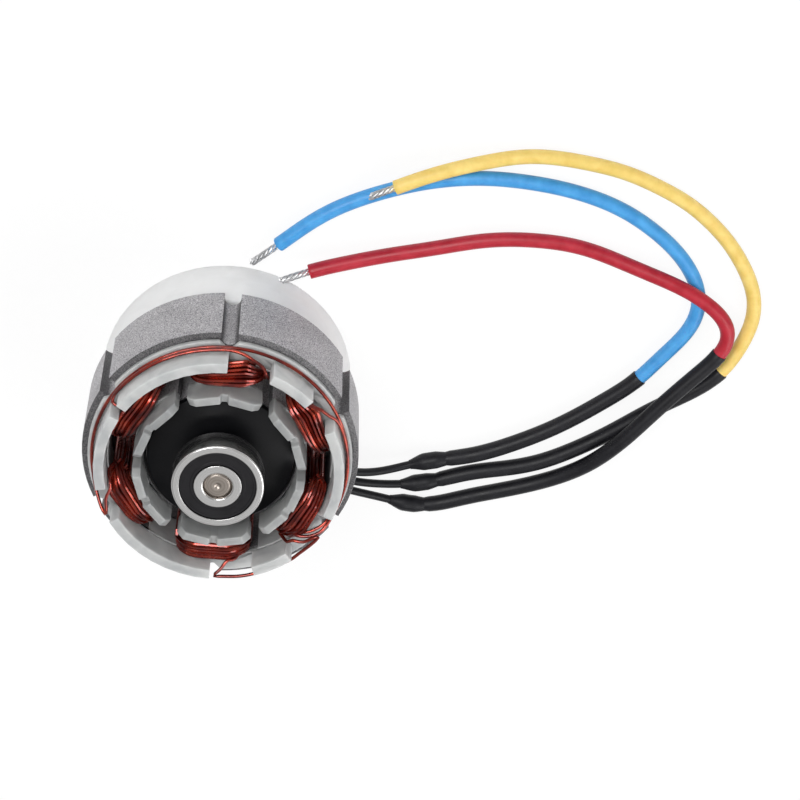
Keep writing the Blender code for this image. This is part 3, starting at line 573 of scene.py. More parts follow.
def rounded_copy(name: str, node: Piece, width: float, segments: int = 2, limit: float = 40.0) -> Piece:
    """Copies a solid and rounds its edges, as a mould or a die leaves them.

    Args:
        name: The new piece's name.
        node: The solid's object.
        width: Width of the rounding.
        segments: Facets across the rounding.
        limit: Only edges that turn by more than this many degrees are rounded.

    Returns:
        The rounded piece.
    """
    piece = placed(name, node.data.copy())
    edit_all(piece)
    bpy.ops.mesh.remove_doubles(threshold=0.02 * MM)
    bpy.ops.mesh.customdata_custom_splitnormals_clear()
    bpy.ops.mesh.select_all(action="SELECT")
    bpy.ops.mesh.dissolve_limited(angle_limit=math.radians(0.6))
    bpy.ops.mesh.quads_convert_to_tris(quad_method="BEAUTY", ngon_method="BEAUTY")
    bpy.ops.object.mode_set(mode="OBJECT")
    bevel = piece.modifiers.new("rounding", "BEVEL")
    bevel.width = width
    bevel.segments = segments
    bevel.limit_method = "ANGLE"
    bevel.angle_limit = math.radians(limit)
    bevel.use_clamp_overlap = False
    bevel.miter_outer = "MITER_ARC"
    bpy.ops.object.modifier_apply(modifier="rounding")
    # Corners that the rounding threw off the solid are drawn back onto it.
    mesh = node.data
    solid = BVHTree.FromPolygons([v.co for v in mesh.vertices], [p.vertices for p in mesh.polygons])
    for vertex in piece.data.vertices:
        place, _, _, off = solid.find_nearest(vertex.co)
        if off > STRAY * width:
            vertex.co = place
    smooth(piece)
    return piece


def smooth_route(points: Iterable[Point], spacing: float) -> list[Vector]:
    """Runs one smooth curve through a route's points.

    Args:
        points: The route, in metres.
        spacing: Distance between the points that come back.

    Returns:
        Evenly spaced points along the curve.
    """
    nodes = [Vector(point) for point in points]
    nodes = [2 * nodes[0] - nodes[1], *nodes, 2 * nodes[-1] - nodes[-2]]
    fine: list[Vector] = []
    for a, b, c, d in zip(nodes, nodes[1:], nodes[2:], nodes[3:]):
        square, cube = 2 * a - 5 * b + 4 * c - d, 3 * b - 3 * c + d - a
        for t in (step / 12 for step in range(12)):
            fine.append(0.5 * (2 * b + (c - a) * t + square * t**2 + cube * t**3))
    fine.append(nodes[-2])
    return stretch(fine, 0.0, run_length(fine), spacing)


def eased(points: Sequence[Vector], steps: int = 14) -> list[Vector]:
    """Irons the small waves out of a run and keeps its true bends, as a springy lead lies.

    Args:
        points: Evenly spaced points.
        steps: How many neighbours on each side count.

    Returns:
        As many points; the first and last stay where they are.
    """
    once = averaged(points, steps)
    return [2 * near - far for near, far in zip(once, averaged(once, steps))]


def averaged(points: Sequence[Vector], steps: int) -> list[Vector]:
    """Each point's weighted mean with its neighbours, the run mirrored past its ends."""
    first, last, count = points[0], points[-1], len(points)
    mean: list[Vector] = []
    for i in range(count):
        total, weights = Vector((0, 0, 0)), 0.0
        for step in range(-steps, steps + 1):
            weight = math.exp(-0.5 * (3.0 * step / steps) ** 2)
            j = i + step
            if j < 0:
                near = 2 * first - points[-j]
            elif j >= count:
                near = 2 * last - points[2 * (count - 1) - j]
            else:
                near = points[j]
            total += weight * near
            weights += weight
        mean.append(total / weights)
    return mean


def run_length(points: Sequence[Vector]) -> float:
    """The length of a run of points."""
    return sum((second - first).length for first, second in zip(points, points[1:]))


def point_along(points: Sequence[Vector], distance: float) -> Vector:
    """The point that lies a distance along a run of points."""
    for first, second in zip(points, points[1:]):
        length = (second - first).length
        if distance <= length:
            return first.lerp(second, max(0.0, distance / length))
        distance -= length
    return points[-1].copy()


def stretch(points: Sequence[Vector], start: float, end: float, spacing: float) -> list[Vector]:
    """Evenly spaced points of a run between two distances along it."""
    count = max(2, round((end - start) / spacing))
    return [point_along(points, start + (end - start) * i / count) for i in range(count + 1)]


@dataclass
class Tube:
    """One round run for a swept piece: its points, the radius at each, and whether it closes."""

    points: list[Vector]
    radii: list[float]
    closed: bool = False


def swept(name: str, runs: Sequence[Tube], sides: int = 12) -> Piece:
    """Sweeps round wire, sleeve or insulation along runs, as one piece.

    Args:
        name: The piece's name.
        runs: The runs to sweep.
        sides: Facets round the wire.

    Returns:
        The piece, with capped ends.
    """
    curve = bpy.data.curves.new(name, "CURVE")
    curve.dimensions = "3D"
    curve.bevel_depth = 1.0
    curve.bevel_resolution = max(0, sides // 4 - 1)
    curve.use_fill_caps = True
    curve.twist_mode = "MINIMUM"
    for run in runs:
        line = curve.splines.new("POLY")
        line.points.add(len(run.points) - 1)
        for spot, place, radius in zip(line.points, run.points, run.radii):
            spot.co = (*place, 1.0)
            spot.radius = radius
        line.use_cyclic_u = run.closed
    placed(name, curve)
    bpy.ops.object.convert(target="MESH")
    return sewn(bpy.context.object, 50)


# The camera and the studio.


@dataclass(frozen=True)
class PhotoCamera:
    """The camera at the photograph's place: a long lens that looks down on the bearing end."""

    lens: float = 135.0
    distance: float = 653.9 * MM
    elevation: float = math.radians(60.41)
    roll: float = math.radians(0.95)
    turn: float = math.radians(6.5)
    aside: float = 37.68 * MM
    below: float = 5.35 * MM

    def build(self) -> None:
        """Adds the camera and makes it the scene's."""
        data = bpy.data.cameras.new("photo_camera")
        data.lens = self.lens
        data.sensor_width = 36.0
        data.clip_start = 0.01
        data.clip_end = 20.0
        camera = placed("photo_camera", data)
        flat_right = Vector((1, 0, 0))
        flat_up = Vector((0, math.sin(self.elevation), -math.cos(self.elevation)))
        back = Vector((0, math.cos(self.elevation), math.sin(self.elevation)))
        right = math.cos(self.roll) * flat_right - math.sin(self.roll) * flat_up
        up = math.sin(self.roll) * flat_right + math.cos(self.roll) * flat_up
        place = Matrix((right, up, back)).transposed().to_4x4()
        place.translation = self.aside * right - self.below * up + self.distance * back
        camera.matrix_world = Matrix.Rotation(self.turn, 4, "Z") @ place
        bpy.context.scene.camera = camera


@dataclass(frozen=True)
class Studio:
    """A pale floor under soft boxes, with a white room round them."""

    floor_half: float = 1.6
    floor_level: float = -0.02 * MM
    flat_half: float = 1.1
    roll_up: float = 0.9
    room_light: float = 0.34

    def build(self) -> None:
        """Lays the floor, hangs the lamps and lights the room."""
        self.lay_floor()
        self.hang_lamp("key_box", (-0.25, 0.45, 0.95), 0.55, 8.0)
        self.hang_lamp("fill_box", (0.7, -0.3, 0.7), 0.7, 5.4)
        self.hang_lamp("back_box", (0.1, -0.5, 0.9), 0.8, 0.5)
        self.light_room()
        bpy.context.scene.view_settings.view_transform = "Standard"

    def lay_floor(self) -> None:
        """A wide sheet of paper with its far edges rolled up."""
        deselect()
        bpy.ops.mesh.primitive_grid_add(x_subdivisions=24, y_subdivisions=24, size=2 * self.floor_half)
        floor = bpy.context.object
        floor.name = "paper_sweep"
        shape = bmesh.new()
        shape.from_mesh(floor.data)
        for vertex in shape.verts:
            reach = max(0.0, abs(vertex.co.x) - self.flat_half, abs(vertex.co.y) - self.flat_half)
            vertex.co.z = self.floor_level + self.roll_up * reach**2
        shape.to_mesh(floor.data)
        shape.free()
        smooth(floor, 60)
        paint(floor, PAPER)

    @staticmethod
    def hang_lamp(name: str, place: Point, size: float, power: float) -> None:
        """Hangs a soft box that looks at the motor."""
        data = bpy.data.lights.new(name, "AREA")
        data.shape = "SQUARE"
        data.size = size
        data.energy = power
        lamp = placed(name, data)
        lamp.location = place
        aim = Vector((0.03, 0.01, 0.02)) - Vector(place)
        lamp.rotation_euler = aim.to_track_quat("-Z", "Y").to_euler()

    def light_room(self) -> None:
        """A white room: plain light from all round, seen pure white by the camera."""
        world = bpy.data.worlds.new("white_room")
        bpy.context.scene.world = world
        world.use_nodes = True
        tree = world.node_tree
        tree.nodes.clear()
        seen = add(tree, "LightPath").outputs["Is Camera Ray"]
        level = add(tree, "MapRange", {"Value": seen, "To Min": self.room_light, "To Max": 1.0})
        sky = add(tree, "Background", {"Color": (1, 1, 1, 1), "Strength": level.outputs[0]})
        add(tree, "OutputWorld", {"Surface": sky.outputs[0]})


# The stator.

TEETH = 6


@dataclass
class Stator:
    """The stator without its wire: the laminated core and two moulded insulators."""

    nodes: dict[str, Piece]
    edge: float = 0.22 * MM
    lining_span: float = math.radians(44.0)
    lining_low: float = 26.0 * MM
    lining_high: float = 35.45 * MM
    lining_near: float = 23.2 * MM
    lining_far: float = 23.52 * MM

    def build(self) -> list[Piece]:
        """Dresses the core and the insulators."""
        core = rounded_copy("lamination_stack", self.nodes["stator_core"], 0.12 * MM, 2, 50)
        front = rounded_copy("front_end_insulator", self.nodes["front_insulator"], self.edge, 3, 38)
        for index in range(TEETH):
            self.line_slot(front, math.radians(98.0 + 60 * index))
        rear = rounded_copy("rear_end_insulator", self.nodes["rear_insulator"], self.edge, 3, 38)
        return [
            fit(core, Part.STATOR, Slot.LAMINATIONS, LAMINATION_FINISH, "stator_core"),
            fit(front, Part.STATOR, Slot.MOULDING, FRONT_NYLON, "front_insulator"),
            fit(rear, Part.STATOR, Slot.MOULDING, REAR_NYLON, "rear_insulator"),
        ]

    def line_slot(self, insulator: Piece, start: float) -> None:
        """Adds the thin skin that covers the yoke at the back of a slot, seen behind the coils.

        Args:
            insulator: The front insulator, which the skin joins.
            start: Where the skin starts, as an angle round the motor.
        """
        deselect()
        bpy.ops.mesh.primitive_plane_add(size=1.0, location=(0, 0, 0))
        skin = bpy.context.object
        near, far, low, high = self.lining_near, self.lining_far, self.lining_low, self.lining_high
        for vertex, place in zip(skin.data.vertices, ((near, low), (far, low), (near, high), (far, high))):
            vertex.co = (place[0], 0.0, place[1])
        edit_all(skin)
        bpy.ops.mesh.spin(steps=10, angle=self.lining_span, center=(0, 0, 0), axis=(0, 0, 1))
        sewn(skin)
        skin.rotation_euler[2] = start
        bpy.ops.object.transform_apply(location=True, rotation=True, scale=True)
        choose(insulator)
        skin.select_set(True)
        bpy.ops.object.join()


@dataclass
class Coil:
    """One coil of enamelled wire round an insulated tooth.

    In the slots the turns lie in layers against the tooth. Over the tooth's ends they spread outwards
    to the wall and settle in fewer, wider layers, and each turn crosses the tooth at a slant.
    """

    index: int
    angle: float
    wire: float = 0.75 * MM
    inner: float = 18.35 * MM
    yoke: float = 23.15 * MM
    wall: float = 23.55 * MM
    half: float = 4.25 * MM
    corner: float = 1.5 * MM
    low: float = 14.3 * MM
    high: float = 35.6 * MM
    layers: int = 6
    build_up: float = 0.64 * MM
    crown_build: float = 0.66 * MM
    slant: float = 0.45 * MM
    bulge: float = 0.0
    gap: float = 0.0
    gap_half: float = 3.2 * MM
    rise_from: float = 0.2 * MM
    rise_over: float = 1.7 * MM
    slot_pitch: float = 0.765 * MM
    crown_pitch: float = 0.7725 * MM
    tight: float = 0.03 * MM
    loose: float = 0.09 * MM

    def build(self) -> Piece:
        """Winds the coil, turn by turn.

        Returns:
            The coil as one piece.
        """
        chance = random.Random(400 + self.index)
        slots = self.slot_places()
        crowns = self.crown_places(len(slots))
        turns = [self.turn_at(slot, crown, chance) for slot, crown in zip(slots, crowns)]
        piece = swept(f"wound_coil_{self.index}", turns, 8)
        return fit(piece, Part.STATOR, Slot.WIRE, COPPER, f"coil_{self.index}")

    def slot_places(self) -> list[tuple[float, float]]:
        """Where each turn lies in the slot: how far from the axis, and how far off the tooth."""
        pitch = self.slot_pitch
        places: list[tuple[float, float]] = []
        for layer in range(self.layers):
            offset = self.wire / 2 + layer * self.build_up
            first = self.inner + self.wire / 2 + (pitch / 2 if layer % 2 else 0.0)
            last = math.sqrt(self.yoke**2 - (self.half + offset + self.wire / 2) ** 2) - self.wire / 2
            places += [(first + row * pitch, offset) for row in range(int((last - first) / pitch) + 1)]
        return places

    def crown_places(self, turns: int) -> list[tuple[float, float]]:
        """Where each turn crosses the tooth's end, in layers that reach from the tab to the wall."""
        pitch = self.crown_pitch
        first = self.inner + self.wire / 2
        places: list[tuple[float, float]] = []
        layer = 0
        while len(places) < turns:
            start = first + (pitch / 2 if layer % 2 else 0.0)
            rows = int((self.wall - self.wire / 2 - start) / pitch + 1e-6) + 1
            left = turns - len(places)
            if left < rows:
                # The last turns lie side by side, in the hollows of the layer below.
                spots = [(rows - left) // 2 + i for i in range(left)]
            else:
                spots = list(range(rows))
            places += [(start + spot * pitch, self.wire / 2 + layer * self.crown_build) for spot in spots]
            layer += 1
        return places

    def turn_at(self, slot: tuple[float, float], crown: tuple[float, float], chance: random.Random) -> Tube:
        """One turn of wire round the tooth, a little out of true as real turns are.

        Args:
            slot: The turn's place in the slot.
            crown: Its place over the tooth's ends.
            chance: The coil's own source of small errors.

        Returns:
            The closed run of the wire.
        """
        across, high, low = self.half - self.corner, self.high - self.corner, self.low + self.corner
        corners = ((across, high, 0), (-across, high, 90), (-across, low, 180), (across, low, 270))
        slack = self.loose if crown[1] > self.wire else self.tight
        wander = [chance.uniform(-slack, slack) for _ in range(4)]
        swell = [chance.uniform(-0.3, 0.8) * slack for _ in range(4)]
        points: list[Vector] = []
        for quarter, (side, level, start) in enumerate(corners):
            for share in (step / 6 for step in range(7)):
                turn = math.radians(start + 90 * share)
                settle_in = abs(math.sin(turn))
                offset = slot[1] + (crown[1] - slot[1]) * settle_in
                wide = wander[quarter] * (1 - share) + wander[(quarter + 1) % 4] * share
                proud = swell[quarter] * (1 - share) + swell[(quarter + 1) % 4] * share
                reach = self.corner + offset + proud
                x, out = side + reach * math.cos(turn), reach * settle_in
                rise = min(1.0, max(0.0, (out + self.rise_from) / self.rise_over))
                rise = rise * rise * (3 - 2 * rise)
                room = math.sqrt(self.wall**2 - x * x) - self.wire / 2
                if abs(x - self.gap) < self.gap_half and math.sin(turn) > 0:
                    room += self.bulge * math.cos(math.pi * (x - self.gap) / (2 * self.gap_half)) ** 2
                crown_along = crown[0] - self.slant * math.cos(turn)
                near = self.inner + self.wire / 2
                fitted = near + (crown_along - near) * (room - near) / (self.wall - self.wire / 2 - near)
                along = slot[0] + (fitted - slot[0]) * rise
                points.append(self.place(along + wide, x, level + reach * math.sin(turn)))
        return Tube(points, [self.wire / 2] * len(points), closed=True)

    def place(self, along: float, across: float, level: float) -> Vector:
        """A point of the coil, from its own directions to the motor's."""
        cos, sin = math.cos(self.angle), math.sin(self.angle)
        return Vector((along * cos - across * sin, along * sin + across * cos, level))


class Where(Enum):
    """Where a wire between two coils runs, as its distance from the motor's axis."""

    COIL = 22.0 * MM
    INSIDE = 23.175 * MM
    MIDDLE = 24.8 * MM
    THROUGH = 25.6 * MM
    TURN = 26.275 * MM
    ALONG = 26.575 * MM


Stop = tuple[float, Where, float]


@dataclass
class Crossover:
    """A wire that joins two coils, out through one gap of the front wall and in through another."""

    index: int
    stops: tuple[Stop, ...]
    wire: float = 0.75 * MM
    ledge: float = 35.3 * MM
    lay: float = 0.1 * MM
    wall: float = 6.4 * MM
    stride: float = 10.0

    def build(self) -> Piece:
        """Bends the wire round the wall.

        Returns:
            The wire as one piece.
        """
        points: list[Point] = []
        base = self.ledge + self.lay + self.wire / 2
        for here, following in zip(self.stops, (*self.stops[1:], self.stops[-1])):
            (degrees, where, level), (next_degrees, next_where, next_level) = here, following
            # A long way round the wall takes more points.
            straight = where is next_where is Where.ALONG
            parts = max(1, round(abs(next_degrees - degrees) / self.stride)) if straight else 1
            for share in (i / parts for i in range(parts)):
                turn = math.radians(degrees + (next_degrees - degrees) * share)
                height = base + (level + (next_level - level) * share) * self.wall
                points.append((where.value * math.cos(turn), where.value * math.sin(turn), height))
        fine = smooth_route(points, 0.8 * MM)
        piece = swept(f"link_wire_{self.index}", [Tube(fine, [self.wire / 2] * len(fine))], 12)
        return fit(piece, Part.STATOR, Slot.WIRE, COPPER, f"crossover_wire_{self.index}")


# Where the front wall has a gap beside a coil, its outer turns bulge out a little: how far, and how
# far the gap's middle lies from the coil's, in millimetres.
COIL_BULGES = {1: (1.3, -3.4), 3: (0.8, -2.8), 5: (0.7, -3.0), 6: (0.9, 3.2)}

COIL, INSIDE, MIDDLE, THROUGH, TURN, ALONG = Where
# Each wire's way: an angle in degrees, a distance from the axis and a share of the wall's height.
CROSSOVER_STOPS: tuple[tuple[Stop, ...], ...] = (
    (
        (192, COIL, -0.05), (194.5, INSIDE, 0.3), (198, INSIDE, 0.44), (202.5, MIDDLE, 0.55),
        (207.5, THROUGH, 0.6), (210.3, TURN, 0.62), (206.5, ALONG, 0.5), (200, ALONG, 0.28),
        (192, ALONG, 0.06), (182, ALONG, 0), (-16, ALONG, 0), (-27, ALONG, 0.03), (-31.5, TURN, 0.1),
        (-34.5, THROUGH, 0.17), (-38, MIDDLE, 0.2), (-41, INSIDE, 0.2), (-44, COIL, -0.05),
    ),
    (
        (170, COIL, 0.0), (166, INSIDE, 0.32), (160, INSIDE, 0.38), (154, INSIDE, 0.36),
        (151.3, INSIDE, 0.34), (151, MIDDLE, 0.31), (151.6, THROUGH, 0.28), (150.6, TURN, 0.25),
        (147, ALONG, 0.2), (140, ALONG, 0.19), (93, ALONG, 0.19), (88, ALONG, 0.2), (83, TURN, 0.25),
        (78, THROUGH, 0.32), (73, MIDDLE, 0.34), (69.5, INSIDE, 0.28), (67, COIL, 0.05),
    ),
    (
        (53, COIL, 0.1), (50, INSIDE, 0.4), (45, INSIDE, 0.43), (38.5, MIDDLE, 0.42),
        (33, THROUGH, 0.38), (29.9, TURN, 0.34), (25.5, ALONG, 0.26), (18, ALONG, 0.19),
        (-15, ALONG, 0.19), (-24, ALONG, 0.24), (-29.5, ALONG, 0.32), (-33, TURN, 0.4),
        (-36, THROUGH, 0.42), (-39, MIDDLE, 0.4), (-42.5, INSIDE, 0.34), (-45.5, COIL, 0.0),
    ),
    (
        (-51, COIL, -0.05), (-48.5, INSIDE, 0.36), (-45, INSIDE, 0.5), (-41, MIDDLE, 0.58),
        (-36, THROUGH, 0.61), (-33.4, TURN, 0.63), (-38.5, TURN, 0.63), (-46, TURN, 0.61),
        (-53, ALONG, 0.58), (-66, ALONG, 0.58), (-76, ALONG, 0.61), (-85, TURN, 0.63),
        (-88.4, TURN, 0.62), (-87.6, THROUGH, 0.6), (-85.3, MIDDLE, 0.54), (-82, INSIDE, 0.44),
        (-78, INSIDE, 0.36), (-74, COIL, 0.1),
    ),
)


# The rotor and its bearings.


@dataclass
class Rotor:
    """The magnet rotor: black end caps on its stack, and the shaft with its ground seats."""

    nodes: dict[str, Piece]
    cap_radius: float = 15.2 * MM
    cap_bore: float = 4.3 * MM
    cap_low: float = 34.0 * MM
    cap_face: float = 35.5 * MM
    boss_radius: float = 5.5 * MM
    boss_top: float = 40.5 * MM
    shaft_radius: float = 3.0 * MM
    shaft_top: float = 46.8 * MM
    end_face: float = 2.2 * MM
    rim_width: float = 1.5 * MM
    rim_depth: float = 0.12 * MM

    def build(self) -> list[Piece]:
        """Turns the front cap and the shaft's end, and dresses what is under them."""
        cap = turned("rotor_end_disc", self.cap_profile())
        rear = rounded_copy("rotor_rear_disc", self.nodes["rotor_rear_cap"], 0.15 * MM)
        shaft = rounded_copy("ground_shaft", self.nodes["shaft"], 0.05 * MM)
        self.chamfer_end(shaft)
        return [
            fit(cap, Part.ROTOR, Slot.BLACK_MOULDING, CAP_BLACK, "rotor_front_cap"),
            fit(rear, Part.ROTOR, Slot.BLACK_MOULDING, CAP_BLACK, "rotor_rear_cap"),
            fit(shaft, Part.ROTOR, Slot.SHAFT, SHAFT_STEEL, "shaft"),
        ]

    def chamfer_end(self, shaft: Piece) -> None:
        """Draws in the rim of the shaft's front face, as a generous lead-in chamfer does."""
        for vertex in shaft.data.vertices:
            radius = math.hypot(vertex.co.x, vertex.co.y)
            if vertex.co.z > self.shaft_top - self.rim_depth and radius > self.shaft_radius - self.rim_width:
                scale = (self.end_face + (radius - 2.5 * MM) * 0.5) / radius
                vertex.co.x *= scale
                vertex.co.y *= scale

    def cap_profile(self) -> list[tuple[float, float]]:
        """The front cap's section: a flat disc, a hollow ring near its boss, and the boss."""
        r, low, face, top = self.cap_radius, self.cap_low, self.cap_face, self.boss_top
        bore, boss = self.cap_bore, self.boss_radius
        return [
            (bore, low), (r - 0.1 * MM, low), (r, low + 0.1 * MM), (r, face - 0.35 * MM),
            (r - 0.1 * MM, face - 0.1 * MM), (r - 0.35 * MM, face), (boss + 1.2 * MM, face),
            (boss + 0.5 * MM, face + 0.15 * MM), (boss + 0.1 * MM, face + 0.6 * MM),
            (boss, face + 1.2 * MM), (boss, top - 0.2 * MM), (boss - 0.2 * MM, top), (bore, top),
        ]


@dataclass
class Bearing:
    """A sealed ball bearing, 6 x 19 x 6 mm: rings with rounded edges, and lipped seals."""

    name: str
    base: float
    ring_part: Part
    width: float = 6.0 * MM
    bore: float = 3.0 * MM
    inner_race: float = 4.9 * MM
    outer_race: float = 8.0 * MM
    outside: float = 9.5 * MM
    edge: float = 0.35 * MM
    recess: float = 0.25 * MM
    seal: float = 0.5 * MM
    run: float = 0.12 * MM

    def build(self) -> list[Piece]:
        """Turns the rings and the seals."""
        outside = self.ring_profile(self.outer_race, self.outside, False)
        outer = turned(f"{self.name}_race_outside", outside, 160)
        inner = turned(f"{self.name}_race_inside", self.ring_profile(self.bore, self.inner_race, True))
        pieces = [
            fit(outer, self.ring_part, Slot.BEARING, RACE_STEEL, f"{self.name}_outer_ring"),
            fit(inner, Part.ROTOR, Slot.BEARING, RACE_STEEL, f"{self.name}_inner_ring"),
        ]
        top = self.name.startswith("front")
        for side, up in (("outer", top), ("inner", not top)):
            disc = turned(f"{self.name}_lip_{side}", self.seal_profile(up))
            pieces.append(fit(disc, self.ring_part, Slot.SEAL, SEAL_BLACK, f"{self.name}_{side}_seal"))
        return pieces

    def ring_profile(self, near: float, far: float, inside: bool) -> list[tuple[float, float]]:
        """A ring's section, its bearing-side corners small and its seat-side corners well rounded."""
        low, high = self.base, self.base + self.width
        small, large = 0.08 * MM, self.edge
        near_edge, far_edge = (large, small) if inside else (small, large)
        points: list[tuple[float, float]] = []
        for across, level, edge, start in (
            (near + near_edge, low + near_edge, near_edge, 180),
            (far - far_edge, low + far_edge, far_edge, 270),
            (far - far_edge, high - far_edge, far_edge, 0),
            (near + near_edge, high - near_edge, near_edge, 90),
        ):
            for turn in (math.radians(start + 90 * step / 4) for step in range(5)):
                points.append((across + edge * math.cos(turn), level + edge * math.sin(turn)))
        return points

    def seal_profile(self, up: bool) -> list[tuple[float, float]]:
        """A seal's section: a flat face that dishes slightly, with a raised lip by the inner ring."""
        near, far = self.inner_race + self.run, self.outer_race - self.run
        sign = 1 if up else -1
        face = self.base + (self.width - self.recess if up else self.recess)
        back, dip = face - sign * self.seal, sign * 0.1 * MM
        return [
            (near, back), (far, back), (far, face - dip), (far - 0.15 * MM, face), (far - 0.5 * MM, face),
            (far - 0.62 * MM, face - dip * 1.2), (near + 0.75 * MM, face - dip * 1.2),
            (near + 0.6 * MM, face), (near + 0.12 * MM, face), (near, face - dip),
        ]


# The leads.


@dataclass
class PhaseLead:
    """One phase lead: thin sleeve, spliced end, cover sleeve, coloured silicone and tinned strands."""

    colour: str
    slot: Slot
    thin_end: float
    cover_end: float
    tip_length: float
    route: tuple[Point, ...]
    turn: float = math.radians(2.0)
    lead: float = 1.6 * MM
    thin: float = 0.9 * MM
    splice: float = 1.9 * MM
    cover: float = 1.75 * MM
    splice_length: float = 9.0 * MM
    tip: float = 0.8 * MM
    strands: int = 7
    strand: float = 0.29 * MM
    lay_length: float = 7.5 * MM
    tucked: float = 0.6 * MM
    rings: int = 26
    line: list[Vector] = field(default_factory=list)

    def build(self) -> list[Piece]:
        place = Matrix.Rotation(self.turn, 3, "Z")
        self.line = eased(smooth_route([place @ Vector(point) * MM for point in self.route], 1.0 * MM))
        whole = run_length(self.line)
        pieces = [*self.sleeves(), self.tinned_end(whole)]
        core = self.insulation(whole)
        [tuple(point) for point in stretch(self.line, 0.0, whole, 2 * MM)]
        return [core, *pieces]

    def insulation(self, whole: float) -> Piece:
        """The silicone insulation, thin where it is bare winding wire inside the first sleeve."""
        end = whole - self.tip_length
        marks = (
            (0.0, self.thin * 0.75), (self.thin_end, self.thin * 0.75),
            (self.thin_end + self.splice_length, self.lead - 0.15 * MM),
            (self.cover_end - 6 * MM, self.lead - 0.1 * MM), (self.cover_end, self.lead),
            (end - 0.15 * MM, self.lead), (end, self.lead - 0.12 * MM),
            (end + 0.02 * MM, self.tip * 0.9), (whole - 0.5 * MM, self.tip * 0.5),
        )
        piece = self.sleeve(f"{self.colour}_silicone_lead", marks, 1.0 * MM, 20)
        return fit(piece, Part.STATOR, self.slot, SILICONES[self.colour], f"{self.colour}_lead")

    def sleeve(self, name: str, marks: Sequence[tuple[float, float]], spacing: float, sides: int) -> Piece:
        """Sweeps a run whose radius changes evenly from mark to mark.

        Args:
            name: The piece's name.
            marks: Distances along the lead, with the radius at each.
            spacing: Distance between rings.
            sides: Facets round it.

        Returns:
            The swept piece.
        """
        points: list[Vector] = []
        radii: list[float] = []
        for (start, first), (end, second) in zip(marks, marks[1:]):
            count = max(1, round((end - start) / spacing))
            for share in (i / count for i in range(count)):
                points.append(point_along(self.line, start + (end - start) * share))
                radii.append(first + (second - first) * share)
        points.append(point_along(self.line, marks[-1][0]))
        radii.append(marks[-1][1])
        return swept(name, [Tube(points, radii)], sides)

    def sleeves(self) -> list[Piece]:
        """The black sleeves: a thin one to the splice, a shrunk one over the crimp, and a long cover.

        The crimp shows as a bulge with conical ends. The cover is open at its far end.
        """
        crimp, end = self.thin_end, self.thin_end + self.splice_length
        thin, splice, cover, start = self.thin, self.splice, self.cover, end - 1.0 * MM
        rows = (
            ("thin", "exit", 0.8, 16, (
                (0.0, thin), (crimp - 0.3 * MM, thin), (crimp + 1.0 * MM, thin),
            )),
            ("crimp", "splice", 0.5, 20, (
                (crimp, thin + 0.12 * MM), (crimp + 0.5 * MM, thin + 0.22 * MM),
                (crimp + 2.6 * MM, splice - 0.12 * MM), (crimp + 3.2 * MM, splice),
                (end - 3.0 * MM, splice), (end - 2.4 * MM, splice - 0.1 * MM),
                (end - 0.6 * MM, cover - 0.28 * MM), (end, cover - 0.2 * MM),
            )),
            ("long", "cover", 1.2, 20, (
                (start, cover - 0.25 * MM), (start + 1.2 * MM, cover - 0.04 * MM), (start + 4 * MM, cover),
                (self.cover_end - 3.0 * MM, cover), (self.cover_end - 0.2 * MM, cover + 0.06 * MM),
                (self.cover_end, cover), (self.cover_end + 0.01 * MM, self.lead - 0.05 * MM),
            )),
        )
        made: list[Piece] = []
        for name, solid, spacing, sides, marks in rows:
            piece = self.sleeve(f"{self.colour}_{name}_sleeve", marks, spacing * MM, sides)
            made.append(fit(piece, Part.STATOR, Slot.SLEEVE, SLEEVE_BLACK, f"{self.colour}_{solid}_sleeve"))
        return made

    def tinned_end(self, whole: float) -> Piece:
        """Seven strands twisted together, dipped in solder and slightly frayed at the tip."""
        start = whole - self.tip_length - self.tucked
        runs: list[Tube] = []
        loose = random.Random(len(self.colour))
        for strand in range(self.strands):
            phase = math.tau * strand / (self.strands - 1)
            out = 0.0 if strand == self.strands - 1 else self.tip - self.strand
            end = whole - loose.uniform(0.0, 0.9) * MM
            points: list[Vector] = []
            for distance in (start + (end - start) * i / self.rings for i in range(self.rings + 1)):
                before, after = (point_along(self.line, distance + step) for step in (-0.5 * MM, 0.5 * MM))
                ahead = (after - before).normalized()
                side = ahead.cross(Vector((0, 0, 1))).normalized()
                turn = phase + math.tau * (distance - start) / self.lay_length
                away = math.cos(turn) * side + math.sin(turn) * side.cross(ahead)
                points.append(point_along(self.line, distance) + out * away)
            runs.append(Tube(points, [self.strand] * self.rings + [self.strand * 0.6]))
        piece = swept(f"{self.colour}_bare_strands", runs, 8)
        return fit(piece, Part.STATOR, Slot.TINNED, TINNED, f"{self.colour}_tinned_end")


